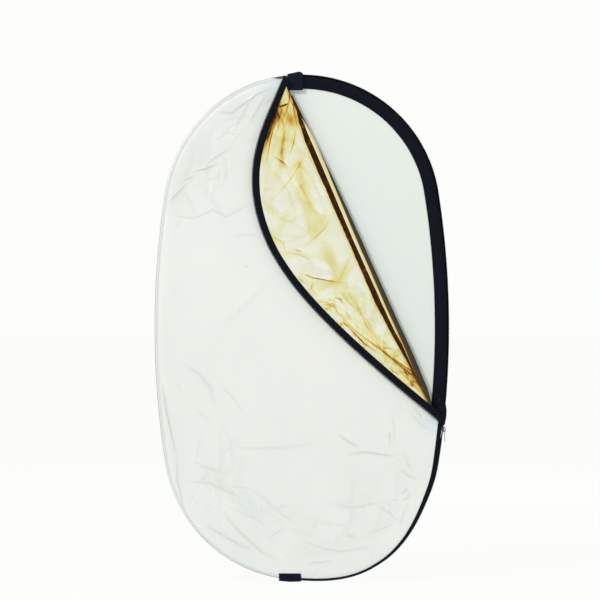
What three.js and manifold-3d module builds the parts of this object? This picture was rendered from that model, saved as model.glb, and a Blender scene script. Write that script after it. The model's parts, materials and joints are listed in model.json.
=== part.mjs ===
// Collapsible five-in-one reflector disc: an oval spring-steel hoop with a sewn-in diffuser, inside a reversible
// zipped cover whose unzipped upper right corner is folded forward to show the cover's lining.
// Millimetres. +X is to the right, +Z is up, and the open corner faces -Y. The origin is the oval's centre.
import * as THREE from "three";
import { mergeVertices } from "three/addons/utils/BufferGeometryUtils.js";
import Module from "manifold-3d";

// ---- Driving dimensions -------------------------------------------------------------------------------------

// The oval outline: four tangent arcs. Offsets from it are negative inwards.
const WIDTH = 711;
const HEIGHT = 1219;
const END_RADIUS = 334;
// The sprung hoop isn't quite symmetrical: its lower right stands out further. The directions are in degrees.
const FULLNESS = { most: 16, rise: [265, 298], fall: [304, 338] };

const GAP = 0.3; // clearance between neighbouring pieces

// Cloth layers, as [nearest the diffuser, farthest from it] distances from the disc's middle plane.
const DIFFUSER_HALF = 0.4;
const LINING_LAYER = [6.4, 7.0];
const OUTER_LAYER = [7.3, 7.9];
const TAPE_LAYER = [8.2, 8.8];
const PANEL_EDGE = -3.8;

// The rim: a flat steel band in a teardrop hem of binding cloth.
const BAND_OFFSETS = [-9.6, -8.6];
const BAND_HALF_WIDTH = 3.5;
const SLEEVE_WALL = 0.5;
const SLEEVE_HALF_SPAN_DEG = 5;
const BINDING_OUTER = -6.4;
const BINDING_INNER = -35;
const BINDING_HALF_DEPTH = 5.4;
const BINDING_WALL = 0.8;
const HEM_HALF_DEPTH = 1.5;
const DIFFUSER_EDGE = -12;

// The zip round the right-hand half, and the sewn edge round the left-hand half.
const COIL_OFFSETS = [-2.6, 0];
const COIL_DEPTHS = [0.8, 3.4];
const TAPE_INNER = -17;
const TAPE_EDGE_OFFSETS = [-3.5, -2.9];
const TAPE_EDGE_DEPTH = 1.5; // how near the middle plane the tape's edge comes
const SEAM_OFFSETS = [-3.5, -0.4];
const SEAM_HALF_DEPTH = 8.2;
const SEAM_WALL = 0.8;
const FLAP_TAPE_OFFSETS = [-17, -3.2];
const FLAP_COIL_OFFSETS = [-2.9, -0.3];
const FLAP_COIL_LAYER = [5.85, 8.45];

// Directions round the outline, in degrees from +X towards +Z, where pieces begin and end.
const TOP_SPLIT_DEG = 92.8;
const BOTTOM_SPLIT_DEG = 265.1;
const SPLIT_HALF_DEG = 0.3;
const FRONT_TAPE_START_DEG = -7.02;
const FLAP_TAPE_START_DEG = -5.1;
const FLAP_TAPE_END_DEG = 81.8;
const SLIDER_DEG = -6.7;

// The tabs that wrap the edge at the two ends of the zip.
const TAB_HALF_DEPTH = 10;
const TAB_WALL = 0.9;
const TOP_TAB = { x: -16.4, width: 39, inner: 569, slot: 611.5, outer: 619.5 };
const BOTTOM_TAB = { x: -28.5, width: 53, inner: -592, slot: -611.5, outer: -613.5 };

// The fold: the corner of the front cover turns about a line through FOLD_POINT that leans FOLD_LEAN_DEG from
// upright. As the corner is turned back, the line itself swings outwards by CREEP_DEG about CREEP_PIVOT.
const FOLD_POINT = new THREE.Vector3(-25.2, -13.4, 549.5);
const FOLD_LEAN_DEG = 24.18;
const FOLD_ENDS = [-12, 800]; // distances along the fold from FOLD_POINT, downwards
const CREEP_DEG = 2.8;
const CREEP_PIVOT = new THREE.Vector3(488, 0, -577);
const FLAP_TOP_CUT = { x: 5, z: 567, leanDeg: 135 }; // keeps the corner's tip clear of the top tab
const FLAP_BOTTOM_Z = -187;

// The slider, in its own frame: +X outwards, +Y towards the back, +Z along the edge towards the open end.
const PLATE_LENGTH = 13;
const PLATE_WIDTH = 10.6;
const PLATE_TAIL_WIDTH = 8.6;
const OUTER_PLATE = [0.5, 1.9];
const INNER_PLATE = [-5.4, -3.9];
const FLANGE_OFFSETS = [-2.3, 0.5];
const FLANGE_WIDTH = 0.9;
const NECK_WIDTH = 1.0;
const NECK_SPAN = [0.5, 5.5];
const BRIDGE_WIDTH = 2.6;
const BRIDGE_HALF_LENGTH = 5.4;
const BRIDGE_OFFSETS = [2.2, 6.0];
const BRIDGE_WALL = 1.1;
const SPRING_OFFSETS = [2.25, 2.7];
const SPRING_WIDTH = 1.8;
const SPRING_HALF_LENGTH = 3.9;

// The pull, hanging plumb from its pivot.
const PIVOT_OFFSET = 3.9;
const PIVOT_ALONG = -2.2;
const PULL_THICKNESS = 1.2;
const PULL_WIDTH = 6.6;
const PULL_LENGTH = 27;
const PULL_EYE = { width: 3.6, from: 0.7, to: 9.2 };
const PULL_GRIP_HOLE = { radius: 1.5, at: 22.5 };

const SIDE_ARC_STEPS = 16;
const END_ARC_STEPS = 24;
const ROLL_STEPS = 8;

// ---- The outline --------------------------------------------------------------------------------------------

const radians = THREE.MathUtils.degToRad;
const END_CENTRE = HEIGHT / 2 - END_RADIUS;
const SIDE_RADIUS = ((WIDTH / 2) ** 2 + END_CENTRE ** 2 - END_RADIUS ** 2) / (WIDTH - 2 * END_RADIUS);
const SIDE_CENTRE = WIDTH / 2 - SIDE_RADIUS;
const TANGENT_DEG = THREE.MathUtils.radToDeg(Math.atan2(END_CENTRE, -SIDE_CENTRE));

// Each arc covers the outward directions from `from` to `to`, in degrees.
const ARCS = [
  { x: SIDE_CENTRE, z: 0, radius: SIDE_RADIUS, from: -TANGENT_DEG, to: TANGENT_DEG, steps: SIDE_ARC_STEPS },
  { x: 0, z: END_CENTRE, radius: END_RADIUS, from: TANGENT_DEG, to: 180 - TANGENT_DEG, steps: END_ARC_STEPS },
  { x: -SIDE_CENTRE, z: 0, radius: SIDE_RADIUS, from: 180 - TANGENT_DEG, to: 180 + TANGENT_DEG, steps: SIDE_ARC_STEPS },
  { x: 0, z: -END_CENTRE, radius: END_RADIUS, from: 180 + TANGENT_DEG, to: 360 - TANGENT_DEG, steps: END_ARC_STEPS },
];

// Every piece bends at the same directions, so that the clearances between their facets stay even.
const SPLIT_DIRECTIONS = [
  TOP_SPLIT_DEG - SPLIT_HALF_DEG,
  TOP_SPLIT_DEG + SPLIT_HALF_DEG,
  BOTTOM_SPLIT_DEG - SPLIT_HALF_DEG,
  BOTTOM_SPLIT_DEG + SPLIT_HALF_DEG,
  FRONT_TAPE_START_DEG,
  FLAP_TAPE_START_DEG,
  FLAP_TAPE_END_DEG,
];

function outlineDirections() {
  const directions = [...SPLIT_DIRECTIONS];
  for (const arc of ARCS)
    for (let i = 0; i < arc.steps; i++) directions.push(arc.from + ((arc.to - arc.from) * i) / arc.steps);
  return directions.sort((a, b) => a - b);
}

const DIRECTIONS = outlineDirections();

// Directions from `from` to `to`, going anticlockwise seen from the front, and past 360 where `to` is.
function directionsBetween(from, to) {
  const turns = [...DIRECTIONS, ...DIRECTIONS.map((d) => d + 360)];
  return turns.filter((d) => d > from - 1e-9 && d < to + 1e-9);
}

// How far the outline stands out of its arcs in a direction from 0 to 360.
function fullness(directionDeg) {
  const { smoothstep } = THREE.MathUtils;
  return FULLNESS.most * (smoothstep(directionDeg, ...FULLNESS.rise) - smoothstep(directionDeg, ...FULLNESS.fall));
}

function outlinePoint(directionDeg, offset) {
  let wrapped = directionDeg;
  while (wrapped >= 360 - TANGENT_DEG) wrapped -= 360;
  const arc = ARCS.find((a) => wrapped >= a.from - 1e-9 && wrapped < a.to - 1e-9);
  const angle = radians(wrapped);
  const reach = arc.radius + offset + fullness(wrapped);
  return new THREE.Vector2(arc.x + reach * Math.cos(angle), arc.z + reach * Math.sin(angle));
}

// ---- Shape builders -----------------------------------------------------------------------------------------

// Sweeps a closed profile of [offset, depth] points round the given directions of the outline.
function sweep(profile, directions, closed = false) {
  const positions = [];
  for (const direction of directions)
    for (const [offset, depth] of profile) {
      const point = outlinePoint(direction, offset);
      positions.push(point.x, depth, point.y);
    }
  const count = profile.length;
  const rows = directions.length;
  const index = [];
  for (let row = 0; row < (closed ? rows : rows - 1); row++)
    for (let i = 0; i < count; i++) {
      const a = row * count + i;
      const b = row * count + ((i + 1) % count);
      const c = ((row + 1) % rows) * count + i;
      const d = ((row + 1) % rows) * count + ((i + 1) % count);
      index.push(a, b, c, b, d, c);
    }
  if (!closed) {
    const last = (rows - 1) * count;
    const corners = profile.map(([offset, depth]) => new THREE.Vector2(offset, depth));
    for (const [a, b, c] of THREE.ShapeUtils.triangulateShape(corners, [])) {
      index.push(a, c, b);
      index.push(last + a, last + b, last + c);
    }
  }
  const geometry = new THREE.BufferGeometry();
  geometry.setAttribute("position", new THREE.Float32BufferAttribute(positions, 3));
  geometry.setIndex(index);
  return geometry;
}

// A rectangle of offsets and depths, in the order that sweep() needs.
function rectangle([innerOffset, outerOffset], [nearDepth, farDepth]) {
  return [
    [innerOffset, nearDepth],
    [outerOffset, nearDepth],
    [outerOffset, farDepth],
    [innerOffset, farDepth],
  ];
}

function ovalPoints(offset) {
  return DIRECTIONS.map((direction) => outlinePoint(direction, offset));
}

// Keeps the part of a convex outline where normal.point is below the limit.
function clip(points, normal, limit) {
  const kept = [];
  points.forEach((point, i) => {
    const next = points[(i + 1) % points.length];
    const here = normal.dot(point) - limit;
    const there = normal.dot(next) - limit;
    if (here <= 0) kept.push(point);
    if (here * there < 0) kept.push(point.clone().lerp(next, here / (here - there)));
  });
  return kept;
}

// A flat plate of the given X-Z outline between two depths.
function plate(points, [nearY, farY]) {
  const geometry = new THREE.ExtrudeGeometry(new THREE.Shape(points), {
    depth: farY - nearY,
    bevelEnabled: false,
  });
  return geometry.rotateX(Math.PI / 2).translate(0, farY, 0);
}

const front = ([near, far]) => [-far, -near];

function material(color, roughness, metalness) {
  return new THREE.MeshStandardMaterial({ color, roughness, metalness, side: THREE.DoubleSide });
}

const silverCloth = () => material(0xe9ece6, 0.45, 0.55);
const goldCloth = () => material(0xd6ae57, 0.35, 0.8);
const whiteCloth = () => material(0xf1f2ee, 0.85, 0);
const blackCloth = () => material(0x16171b, 0.85, 0);
const diffuserCloth = () => material(0xe8efe7, 0.9, 0);
const bindingCloth = () => material(0x0e1119, 0.8, 0);
const coilNylon = () => material(0x14161b, 0.45, 0);
const springSteel = () => material(0xaeb3b8, 0.35, 1);
const zincAlloy = () => material(0x8b8e92, 0.4, 0.9);

function piece(name, geometry, itsMaterial) {
  const mesh = new THREE.Mesh(geometry, itsMaterial);
  mesh.name = name;
  return mesh;
}

// Extrudes an outline of [y, z] points along X.
function block(points, [fromX, toX], holes = []) {
  const shape = new THREE.Shape(points.map(([y, z]) => new THREE.Vector2(y, z)));
  shape.holes.push(...holes);
  const geometry = new THREE.ExtrudeGeometry(shape, { depth: toX - fromX, bevelEnabled: false, curveSegments: 6 });
  const yToX = new THREE.Matrix4().makeBasis(
    new THREE.Vector3(0, 1, 0),
    new THREE.Vector3(0, 0, 1),
    new THREE.Vector3(1, 0, 0),
  );
  return geometry.applyMatrix4(yToX).translate(fromX, 0, 0);
}

const wasm = await Module();
wasm.setup();

function solid(geometry) {
  const bare = geometry.clone();
  bare.deleteAttribute("normal");
  bare.deleteAttribute("uv");
  const merged = mergeVertices(bare);
  return new wasm.Manifold(
    new wasm.Mesh({
      numProp: 3,
      vertProperties: new Float32Array(merged.attributes.position.array),
      triVerts: new Uint32Array(merged.index.array),
    }),
  );
}

function geometryOf(shape) {
  const mesh = shape.getMesh();
  const geometry = new THREE.BufferGeometry();
  geometry.setAttribute("position", new THREE.BufferAttribute(mesh.vertProperties, 3));
  geometry.setIndex(new THREE.BufferAttribute(mesh.triVerts, 1));
  return geometry;
}

const joined = (...geometries) => geometryOf(geometries.map(solid).reduce((a, b) => a.add(b)));

// ---- The rim ------------------------------------------------------------------------------------------------

// The band's two ends stop just short of each other inside the sleeve.
function springSteelBand() {
  const from = BOTTOM_SPLIT_DEG + SPLIT_HALF_DEG;
  const to = BOTTOM_SPLIT_DEG - SPLIT_HALF_DEG + 360;
  const profile = rectangle(BAND_OFFSETS, [-BAND_HALF_WIDTH, BAND_HALF_WIDTH]);
  return piece("spring_steel_band", sweep(profile, directionsBetween(from, to)), springSteel());
}

function bandSpliceSleeve() {
  const around = (margin) =>
    rectangle(
      [BAND_OFFSETS[0] - margin, BAND_OFFSETS[1] + margin],
      [-BAND_HALF_WIDTH - margin, BAND_HALF_WIDTH + margin],
    );
  const within = (halfSpan) => directionsBetween(BOTTOM_SPLIT_DEG - halfSpan, BOTTOM_SPLIT_DEG + halfSpan);
  const outside = solid(sweep(around(GAP + SLEEVE_WALL), within(SLEEVE_HALF_SPAN_DEG)));
  const bore = solid(sweep(around(GAP), within(2 * SLEEVE_HALF_SPAN_DEG)));
  return piece("band_splice_sleeve", geometryOf(outside.subtract(bore)), springSteel());
}

// Binding cloth folded over the band and sewn flat to both faces of the diffuser.
function rimBinding() {
  const near = BINDING_HALF_DEPTH;
  const wall = BINDING_WALL;
  const side = [
    [BINDING_INNER, HEM_HALF_DEPTH],
    [BINDING_INNER + 16, HEM_HALF_DEPTH + 0.7],
    [BINDING_INNER + 24, near],
    [BINDING_OUTER, near],
  ];
  const inside = side.map(([offset, depth], i) => [offset + (i === 3 ? -wall : 0.3 * Math.sign(i)), depth - wall]);
  const mirrored = (points) => points.map(([offset, depth]) => [offset, -depth]);
  const profile = [...mirrored(side), ...[...side].reverse(), ...inside, ...mirrored(inside).reverse()];
  return piece("rim_binding", sweep(profile, DIRECTIONS, true), bindingCloth());
}

function diffuserPanel() {
  const points = ovalPoints(DIFFUSER_EDGE);
  return piece("diffuser_panel", plate(points, [-DIFFUSER_HALF, DIFFUSER_HALF]), diffuserCloth());
}

// ---- The cover ----------------------------------------------------------------------------------------------

const FOLD_NORMAL = new THREE.Vector2(Math.cos(radians(FOLD_LEAN_DEG)), Math.sin(radians(FOLD_LEAN_DEG)));
const FOLD_LIMIT = FOLD_NORMAL.dot(new THREE.Vector2(FOLD_POINT.x, FOLD_POINT.z));

function backPanels() {
  const points = ovalPoints(PANEL_EDGE);
  return [
    piece("cover_back_lining", plate(points, LINING_LAYER), whiteCloth()),
    piece("cover_back_outer", plate(points, OUTER_LAYER), blackCloth()),
  ];
}

function frontPanels() {
  const points = clip(ovalPoints(PANEL_EDGE), FOLD_NORMAL, FOLD_LIMIT - GAP);
  return [
    piece("cover_front_lining", plate(points, front(LINING_LAYER)), goldCloth()),
    piece("cover_front_outer", plate(points, front(OUTER_LAYER)), silverCloth()),
  ];
}

// The sewn edge that joins the two faces of the cover all down the left.
function sideSeam() {
  const [inner, outer] = SEAM_OFFSETS;
  const half = SEAM_HALF_DEPTH;
  const wall = SEAM_WALL;
  const profile = [
    [inner, -half],
    [outer, -half],
    [outer, half],
    [inner, half],
    [inner, half - wall],
    [outer - wall, half - wall],
    [outer - wall, wall - half],
    [inner, wall - half],
  ];
  const directions = directionsBetween(TOP_SPLIT_DEG + SPLIT_HALF_DEG, BOTTOM_SPLIT_DEG - SPLIT_HALF_DEG);
  return piece("cover_side_seam", sweep(profile, directions), silverCloth());
}

// ---- The zip ------------------------------------------------------------------------------------------------

const BACK_ZIP = directionsBetween(BOTTOM_SPLIT_DEG + SPLIT_HALF_DEG, TOP_SPLIT_DEG - SPLIT_HALF_DEG + 360);
const LOWER_ZIP = directionsBetween(BOTTOM_SPLIT_DEG + SPLIT_HALF_DEG, FRONT_TAPE_START_DEG + 360);
const FLAP_ZIP = directionsBetween(FLAP_TAPE_START_DEG + 360, FLAP_TAPE_END_DEG + 360);

// The tape lies on the cover's face and turns over its edge, where the coil is sewn to it.
function tapeProfile() {
  const [face, back] = TAPE_LAYER;
  const [inner, outer] = TAPE_EDGE_OFFSETS;
  return [
    [TAPE_INNER, face],
    [inner, face],
    [inner, TAPE_EDGE_DEPTH],
    [outer, TAPE_EDGE_DEPTH],
    [outer, back],
    [TAPE_INNER, back],
  ];
}

const toFront = (profile) => profile.map(([offset, depth]) => [offset, -depth]).reverse();

function fixedZip() {
  const coil = rectangle(COIL_OFFSETS, COIL_DEPTHS);
  return [
    piece("zip_tape_back", sweep(tapeProfile(), BACK_ZIP), bindingCloth()),
    piece("zip_coil_back", sweep(coil, BACK_ZIP), coilNylon()),
    piece("zip_tape_front_lower", sweep(toFront(tapeProfile()), LOWER_ZIP), bindingCloth()),
    piece("zip_coil_front_lower", sweep(toFront(coil), LOWER_ZIP), coilNylon()),
  ];
}

function zipEndTab(name, tab) {
  const outer = TAB_HALF_DEPTH;
  const inner = TAB_HALF_DEPTH - TAB_WALL;
  const points = [
    [-outer, tab.inner],
    [-inner, tab.inner],
    [-inner, tab.slot],
    [inner, tab.slot],
    [inner, tab.inner],
    [outer, tab.inner],
    [outer, tab.outer],
    [-outer, tab.outer],
  ];
  return piece(name, block(points, [tab.x - tab.width / 2, tab.x + tab.width / 2]), bindingCloth());
}

// ---- The folded corner --------------------------------------------------------------------------------------

const FOLD_AXIS = new THREE.Vector3(-FOLD_NORMAL.y, 0, FOLD_NORMAL.x);

function turnAbout(point, axis, angle) {
  return new THREE.Matrix4()
    .makeTranslation(point)
    .multiply(new THREE.Matrix4().makeRotationAxis(axis, angle))
    .multiply(new THREE.Matrix4().makeTranslation(point.clone().negate()));
}

// Half a tube of cloth where the front cover turns over, open towards the cover.
function foldRoll() {
  const depth = -FOLD_POINT.y;
  const radii = [depth - OUTER_LAYER[1], depth - LINING_LAYER[0]];
  const arc = (radius, from, to) =>
    Array.from({ length: ROLL_STEPS + 1 }, (_, i) => {
      const angle = from + ((to - from) * i) / ROLL_STEPS;
      return new THREE.Vector2(radius * Math.cos(angle), radius * Math.sin(angle));
    });
  const outline = [...arc(radii[1], -Math.PI / 2, Math.PI / 2), ...arc(radii[0], Math.PI / 2, -Math.PI / 2)];
  const length = FOLD_ENDS[1] - FOLD_ENDS[0];
  const geometry = new THREE.ExtrudeGeometry(new THREE.Shape(outline), { depth: length, bevelEnabled: false });
  const outwards = new THREE.Vector3(FOLD_NORMAL.x, 0, FOLD_NORMAL.y);
  const down = FOLD_AXIS.clone().negate();
  const frame = new THREE.Matrix4().makeBasis(outwards, down.clone().cross(outwards), down);
  const start = FOLD_POINT.clone().addScaledVector(down, FOLD_ENDS[0]);
  return piece("fold_roll", geometry.applyMatrix4(frame).translate(...start.toArray()), goldCloth());
}

// The corner, made as it lies when zipped up, and then turned forward to its open place.
function foldedCorner() {
  const closedNormal = new THREE.Vector2(
    Math.cos(radians(FOLD_LEAN_DEG - CREEP_DEG)),
    Math.sin(radians(FOLD_LEAN_DEG - CREEP_DEG)),
  );
  const pivot = new THREE.Vector2(CREEP_PIVOT.x, CREEP_PIVOT.z);
  const closedLimit = closedNormal.dot(pivot) + FOLD_LIMIT + GAP - FOLD_NORMAL.dot(pivot);
  const lean = radians(FLAP_TOP_CUT.leanDeg);
  const topNormal = new THREE.Vector2(Math.cos(lean), Math.sin(lean));
  const topLimit = topNormal.dot(new THREE.Vector2(FLAP_TOP_CUT.x, FLAP_TOP_CUT.z));
  let points = ovalPoints(FLAP_TAPE_OFFSETS[0] - GAP);
  points = clip(points, closedNormal.clone().negate(), -closedLimit);
  points = clip(points, topNormal, topLimit);
  points = clip(points, new THREE.Vector2(0, -1), -FLAP_BOTTOM_Z);
  const corner = new THREE.Group();
  corner.add(
    piece("flap_lining", plate(points, front(LINING_LAYER)), goldCloth()),
    piece("flap_outer", plate(points, front(OUTER_LAYER)), silverCloth()),
    piece(
      "flap_zip_tape",
      sweep(rectangle(FLAP_TAPE_OFFSETS, [-OUTER_LAYER[1], -LINING_LAYER[0]]), FLAP_ZIP),
      bindingCloth(),
    ),
    piece("flap_zip_coil", sweep(rectangle(FLAP_COIL_OFFSETS, front(FLAP_COIL_LAYER)), FLAP_ZIP), coilNylon()),
  );
  corner.applyMatrix4(turnAbout(CREEP_PIVOT, new THREE.Vector3(0, 1, 0), radians(-CREEP_DEG)));
  corner.applyMatrix4(turnAbout(FOLD_POINT, FOLD_AXIS, -Math.PI));
  return corner;
}

// ---- The slider and its pull --------------------------------------------------------------------------------

function sliderBody() {
  const halfLength = PLATE_LENGTH / 2;
  const wide = PLATE_WIDTH / 2;
  const tail = PLATE_TAIL_WIDTH / 2;
  const shoulder = halfLength - 1.2;
  const waist = 1.5;
  const outline = [
    [-tail, -halfLength],
    [tail, -halfLength],
    [wide, waist],
    [wide, shoulder],
    [wide - 1.2, halfLength],
    [1.2 - wide, halfLength],
    [-wide, shoulder],
    [-wide, waist],
  ];
  const flange = (side) =>
    [
      [tail - FLANGE_WIDTH, -halfLength],
      [tail, -halfLength],
      [wide, waist],
      [wide, shoulder],
      [wide - FLANGE_WIDTH, shoulder],
      [wide - FLANGE_WIDTH, waist],
    ].map(([y, z]) => [side * y, z]);
  const half = NECK_WIDTH / 2;
  const neck = [
    [-half, NECK_SPAN[0]],
    [half, NECK_SPAN[0]],
    [half, NECK_SPAN[1]],
    [-half, NECK_SPAN[1]],
  ];
  const geometry = joined(
    block(outline, OUTER_PLATE),
    block(outline, INNER_PLATE),
    block(neck, [INNER_PLATE[0], OUTER_PLATE[1]]),
    block(flange(1), [FLANGE_OFFSETS[0], OUTER_PLATE[1]]),
    block(flange(-1), [FLANGE_OFFSETS[0], OUTER_PLATE[1]]),
  );
  return piece("slider_body", geometry, zincAlloy());
}

// The arch over the outer plate that holds the pull.
function sliderBridge() {
  const [foot, top] = BRIDGE_OFFSETS;
  const end = BRIDGE_HALF_LENGTH;
  const under = top - BRIDGE_WALL;
  const inner = end - BRIDGE_WALL;
  const half = [
    [foot, inner],
    [under - 0.5, inner],
    [under, inner - 0.5],
  ];
  const points = [
    [foot, -end],
    [top - 1.2, -end],
    [top, 1.2 - end],
    [top, end - 1.2],
    [top - 1.2, end],
    [foot, end],
    ...half,
    ...[...half].reverse().map(([x, z]) => [x, -z]),
  ];
  const outline = points.map(([x, z]) => new THREE.Vector2(x, z));
  return piece("slider_bridge", plate(outline, [-BRIDGE_WIDTH / 2, BRIDGE_WIDTH / 2]), zincAlloy());
}

// A shallow bowed leaf under the bridge that locks the slider while the pull hangs.
function sliderLockSpring() {
  const [low, high] = SPRING_OFFSETS;
  const end = SPRING_HALF_LENGTH;
  const bow = 0.25;
  const points = [
    [low, -end],
    [high, -end],
    [high + bow, 0],
    [high, end],
    [low, end],
    [low + bow, 0],
  ];
  const outline = points.map(([x, z]) => new THREE.Vector2(x, z));
  return piece("slider_lock_spring", plate(outline, [-SPRING_WIDTH / 2, SPRING_WIDTH / 2]), springSteel());
}

function pullTab() {
  const half = PULL_WIDTH / 2;
  const top = PULL_THICKNESS / 2;
  const round = (centreZ, turn) =>
    Array.from({ length: ROLL_STEPS + 1 }, (_, i) => {
      const angle = turn + (Math.PI * i) / ROLL_STEPS;
      return [half * Math.cos(angle), centreZ + half * Math.sin(angle)];
    });
  const outline = [[half, top], [-half, top], ...round(half - PULL_LENGTH, Math.PI)];
  const eye = new THREE.Path();
  eye.moveTo(-PULL_EYE.width / 2, -PULL_EYE.to);
  eye.lineTo(-PULL_EYE.width / 2, -PULL_EYE.from);
  eye.lineTo(PULL_EYE.width / 2, -PULL_EYE.from);
  eye.lineTo(PULL_EYE.width / 2, -PULL_EYE.to);
  eye.closePath();
  const grip = new THREE.Path();
  grip.absarc(0, -PULL_GRIP_HOLE.at, PULL_GRIP_HOLE.radius, 0, 2 * Math.PI);
  return piece("pull_tab", block(outline, [-top, top], [eye, grip]), zincAlloy());
}

function slider() {
  const assembly = new THREE.Group();
  assembly.add(sliderBody(), sliderBridge(), sliderLockSpring());
  const place = outlinePoint(SLIDER_DEG, 0);
  assembly.position.set(place.x, 0, place.y);
  assembly.rotation.y = -radians(SLIDER_DEG);
  const pull = pullTab();
  assembly.updateMatrix();
  pull.position.set(PIVOT_OFFSET, 0, PIVOT_ALONG).applyMatrix4(assembly.matrix);
  const both = new THREE.Group();
  both.add(assembly, pull);
  return both;
}

// ---- The whole disc -----------------------------------------------------------------------------------------

const reflector = new THREE.Group();
reflector.add(
  springSteelBand(),
  bandSpliceSleeve(),
  rimBinding(),
  diffuserPanel(),
  ...backPanels(),
  ...frontPanels(),
  sideSeam(),
  ...fixedZip(),
  zipEndTab("zip_end_tab_top", TOP_TAB),
  zipEndTab("zip_end_tab_bottom", BOTTOM_TAB),
  foldRoll(),
  foldedCorner(),
  slider(),
);

export default reflector;
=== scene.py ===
"""Looks for the collapsible reflector disc: its cloths, zip, rim binding and folded corner."""

import json
import math

import bmesh
import bpy
import numpy as np
from mathutils import Matrix, Vector, noise


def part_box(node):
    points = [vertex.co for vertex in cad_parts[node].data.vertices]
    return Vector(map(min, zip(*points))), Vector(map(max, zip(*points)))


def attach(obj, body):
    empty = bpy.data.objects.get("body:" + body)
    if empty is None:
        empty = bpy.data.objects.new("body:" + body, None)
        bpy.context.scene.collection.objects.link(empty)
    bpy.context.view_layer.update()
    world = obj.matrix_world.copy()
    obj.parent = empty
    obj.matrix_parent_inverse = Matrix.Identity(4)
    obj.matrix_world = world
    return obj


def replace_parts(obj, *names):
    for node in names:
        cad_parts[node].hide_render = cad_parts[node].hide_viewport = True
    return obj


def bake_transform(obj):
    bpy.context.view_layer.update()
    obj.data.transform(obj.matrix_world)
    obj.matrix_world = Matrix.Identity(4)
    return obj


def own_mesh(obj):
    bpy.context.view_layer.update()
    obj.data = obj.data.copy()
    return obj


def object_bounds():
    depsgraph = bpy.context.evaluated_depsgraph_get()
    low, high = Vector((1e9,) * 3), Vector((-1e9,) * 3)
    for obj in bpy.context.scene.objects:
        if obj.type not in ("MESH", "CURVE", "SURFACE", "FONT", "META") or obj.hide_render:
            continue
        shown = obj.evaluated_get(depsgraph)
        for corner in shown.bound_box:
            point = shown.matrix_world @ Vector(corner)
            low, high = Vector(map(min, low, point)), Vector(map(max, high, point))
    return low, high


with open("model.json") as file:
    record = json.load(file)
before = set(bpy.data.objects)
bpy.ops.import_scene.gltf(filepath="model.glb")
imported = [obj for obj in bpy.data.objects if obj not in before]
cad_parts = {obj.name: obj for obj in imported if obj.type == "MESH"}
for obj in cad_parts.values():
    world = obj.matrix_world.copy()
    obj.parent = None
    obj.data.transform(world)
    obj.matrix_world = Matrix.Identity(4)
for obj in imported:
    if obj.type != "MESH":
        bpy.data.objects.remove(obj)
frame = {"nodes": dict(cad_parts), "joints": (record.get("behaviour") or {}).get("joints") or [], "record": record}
CAD_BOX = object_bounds()
FINE = 1.0  # share of the full mesh density

# ---------------------------------------------------------------- driving dimensions, metres

HALF_WIDTH, HALF_HEIGHT, END_RADIUS = 0.3555, 0.6095, 0.334
END_CENTRE = HALF_HEIGHT - END_RADIUS
SIDE_RADIUS = (HALF_WIDTH**2 + END_CENTRE**2 - END_RADIUS**2) / (2 * (HALF_WIDTH - END_RADIUS))
SIDE_CENTRE = SIDE_RADIUS - HALF_WIDTH
TANGENT = math.atan2(END_CENTRE, SIDE_CENTRE)
PANEL_EDGE = -0.0038
FULLNESS = 0.016  # how far the lower right stands out of its arc
FULL_RISE, FULL_FALL = (265, 298), (304, 338)  # where it does so, degrees
ZIP_TOP, ZIP_BOTTOM = 92.8, 265.1  # directions of the zip's two ends, degrees
SLIDER = -6.7  # direction of the slider
TAPE, CORNER_TAPE = 0.017, 0.0192  # width of a half zip tape
OUTER_Y = 0.5 * (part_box("cover_back_outer")[0].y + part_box("cover_back_outer")[1].y)
LINING_Y = 0.5 * (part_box("cover_back_lining")[0].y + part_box("cover_back_lining")[1].y)
TURN_EDGE = 0.004  # the front panel's edge below the corner, out from the fold line
STRIP_END = 0.835  # how far down the fold line that strip goes
STRIP = 0.026  # width of the cloth between the front panel's cut edge and the fold
STRIP_TUCK = 0.003  # how far that cloth goes on under the fold

JOINTS = {j["name"]: j for j in frame["joints"]}
RATIO = frame["record"]["behaviour"]["couplings"][0]["ratio"]


def turn(joint, degrees):
    """The matrix of a hinge turned by degrees from rest."""
    at = Matrix.Translation(Vector(joint["pos_m"]))
    return (at @ Matrix.Rotation(math.radians(degrees), 4, Vector(joint["axis"])) @ at.inverted())


CLOSE_DEG = JOINTS["corner_fold"]["range_deg"][1]
CLOSED = turn(JOINTS["fold_creep"], RATIO * CLOSE_DEG) @ turn(JOINTS["corner_fold"], CLOSE_DEG)
TO_REST = np.array(CLOSED.inverted(), float)
HINGE = np.array(JOINTS["corner_fold"]["pos_m"], float)
DOWN = -np.array(JOINTS["corner_fold"]["axis"], float)
DOWN /= np.linalg.norm(DOWN)
ACROSS = np.array([-DOWN[2], 0.0, DOWN[0]])
RADIUS = -HINGE[1] - LINING_Y  # of the roll, from the hinge line to the gold lining
FOLD_LENGTH = 0.812
ROLL_START = 0.006  # how far above the hinge's place the roll begins
BLEND_DEPTH = 0.00625  # to each side of the hinge, over which the roll passes to the corner
COVER_FLAT, DIFFUSER_FLAT, CORNER_FLAT = (0.711, 1.212), (0.684, 1.192), (0.27, 0.83)
TAPE_OUTER = -0.0028  # the corner tape's outer edge, from the oval when shut
CORNER_TAPE_Y = -0.0058  # the same tape's depth when shut
SILVER_CLEAR = 0.0014  # how far back the folded silver is set, clear of the cloth over it
TAPE_THICK = 0.55  # mm


def smooth(x, low, high):
    t = np.clip((np.asarray(x, float) - low) / (high - low), 0, 1)
    return t * t * (3 - 2 * t)


def fullness(degrees):
    d = np.mod(degrees, 360.0)
    return FULLNESS * (smooth(d, *FULL_RISE) - smooth(d, *FULL_FALL))


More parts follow.
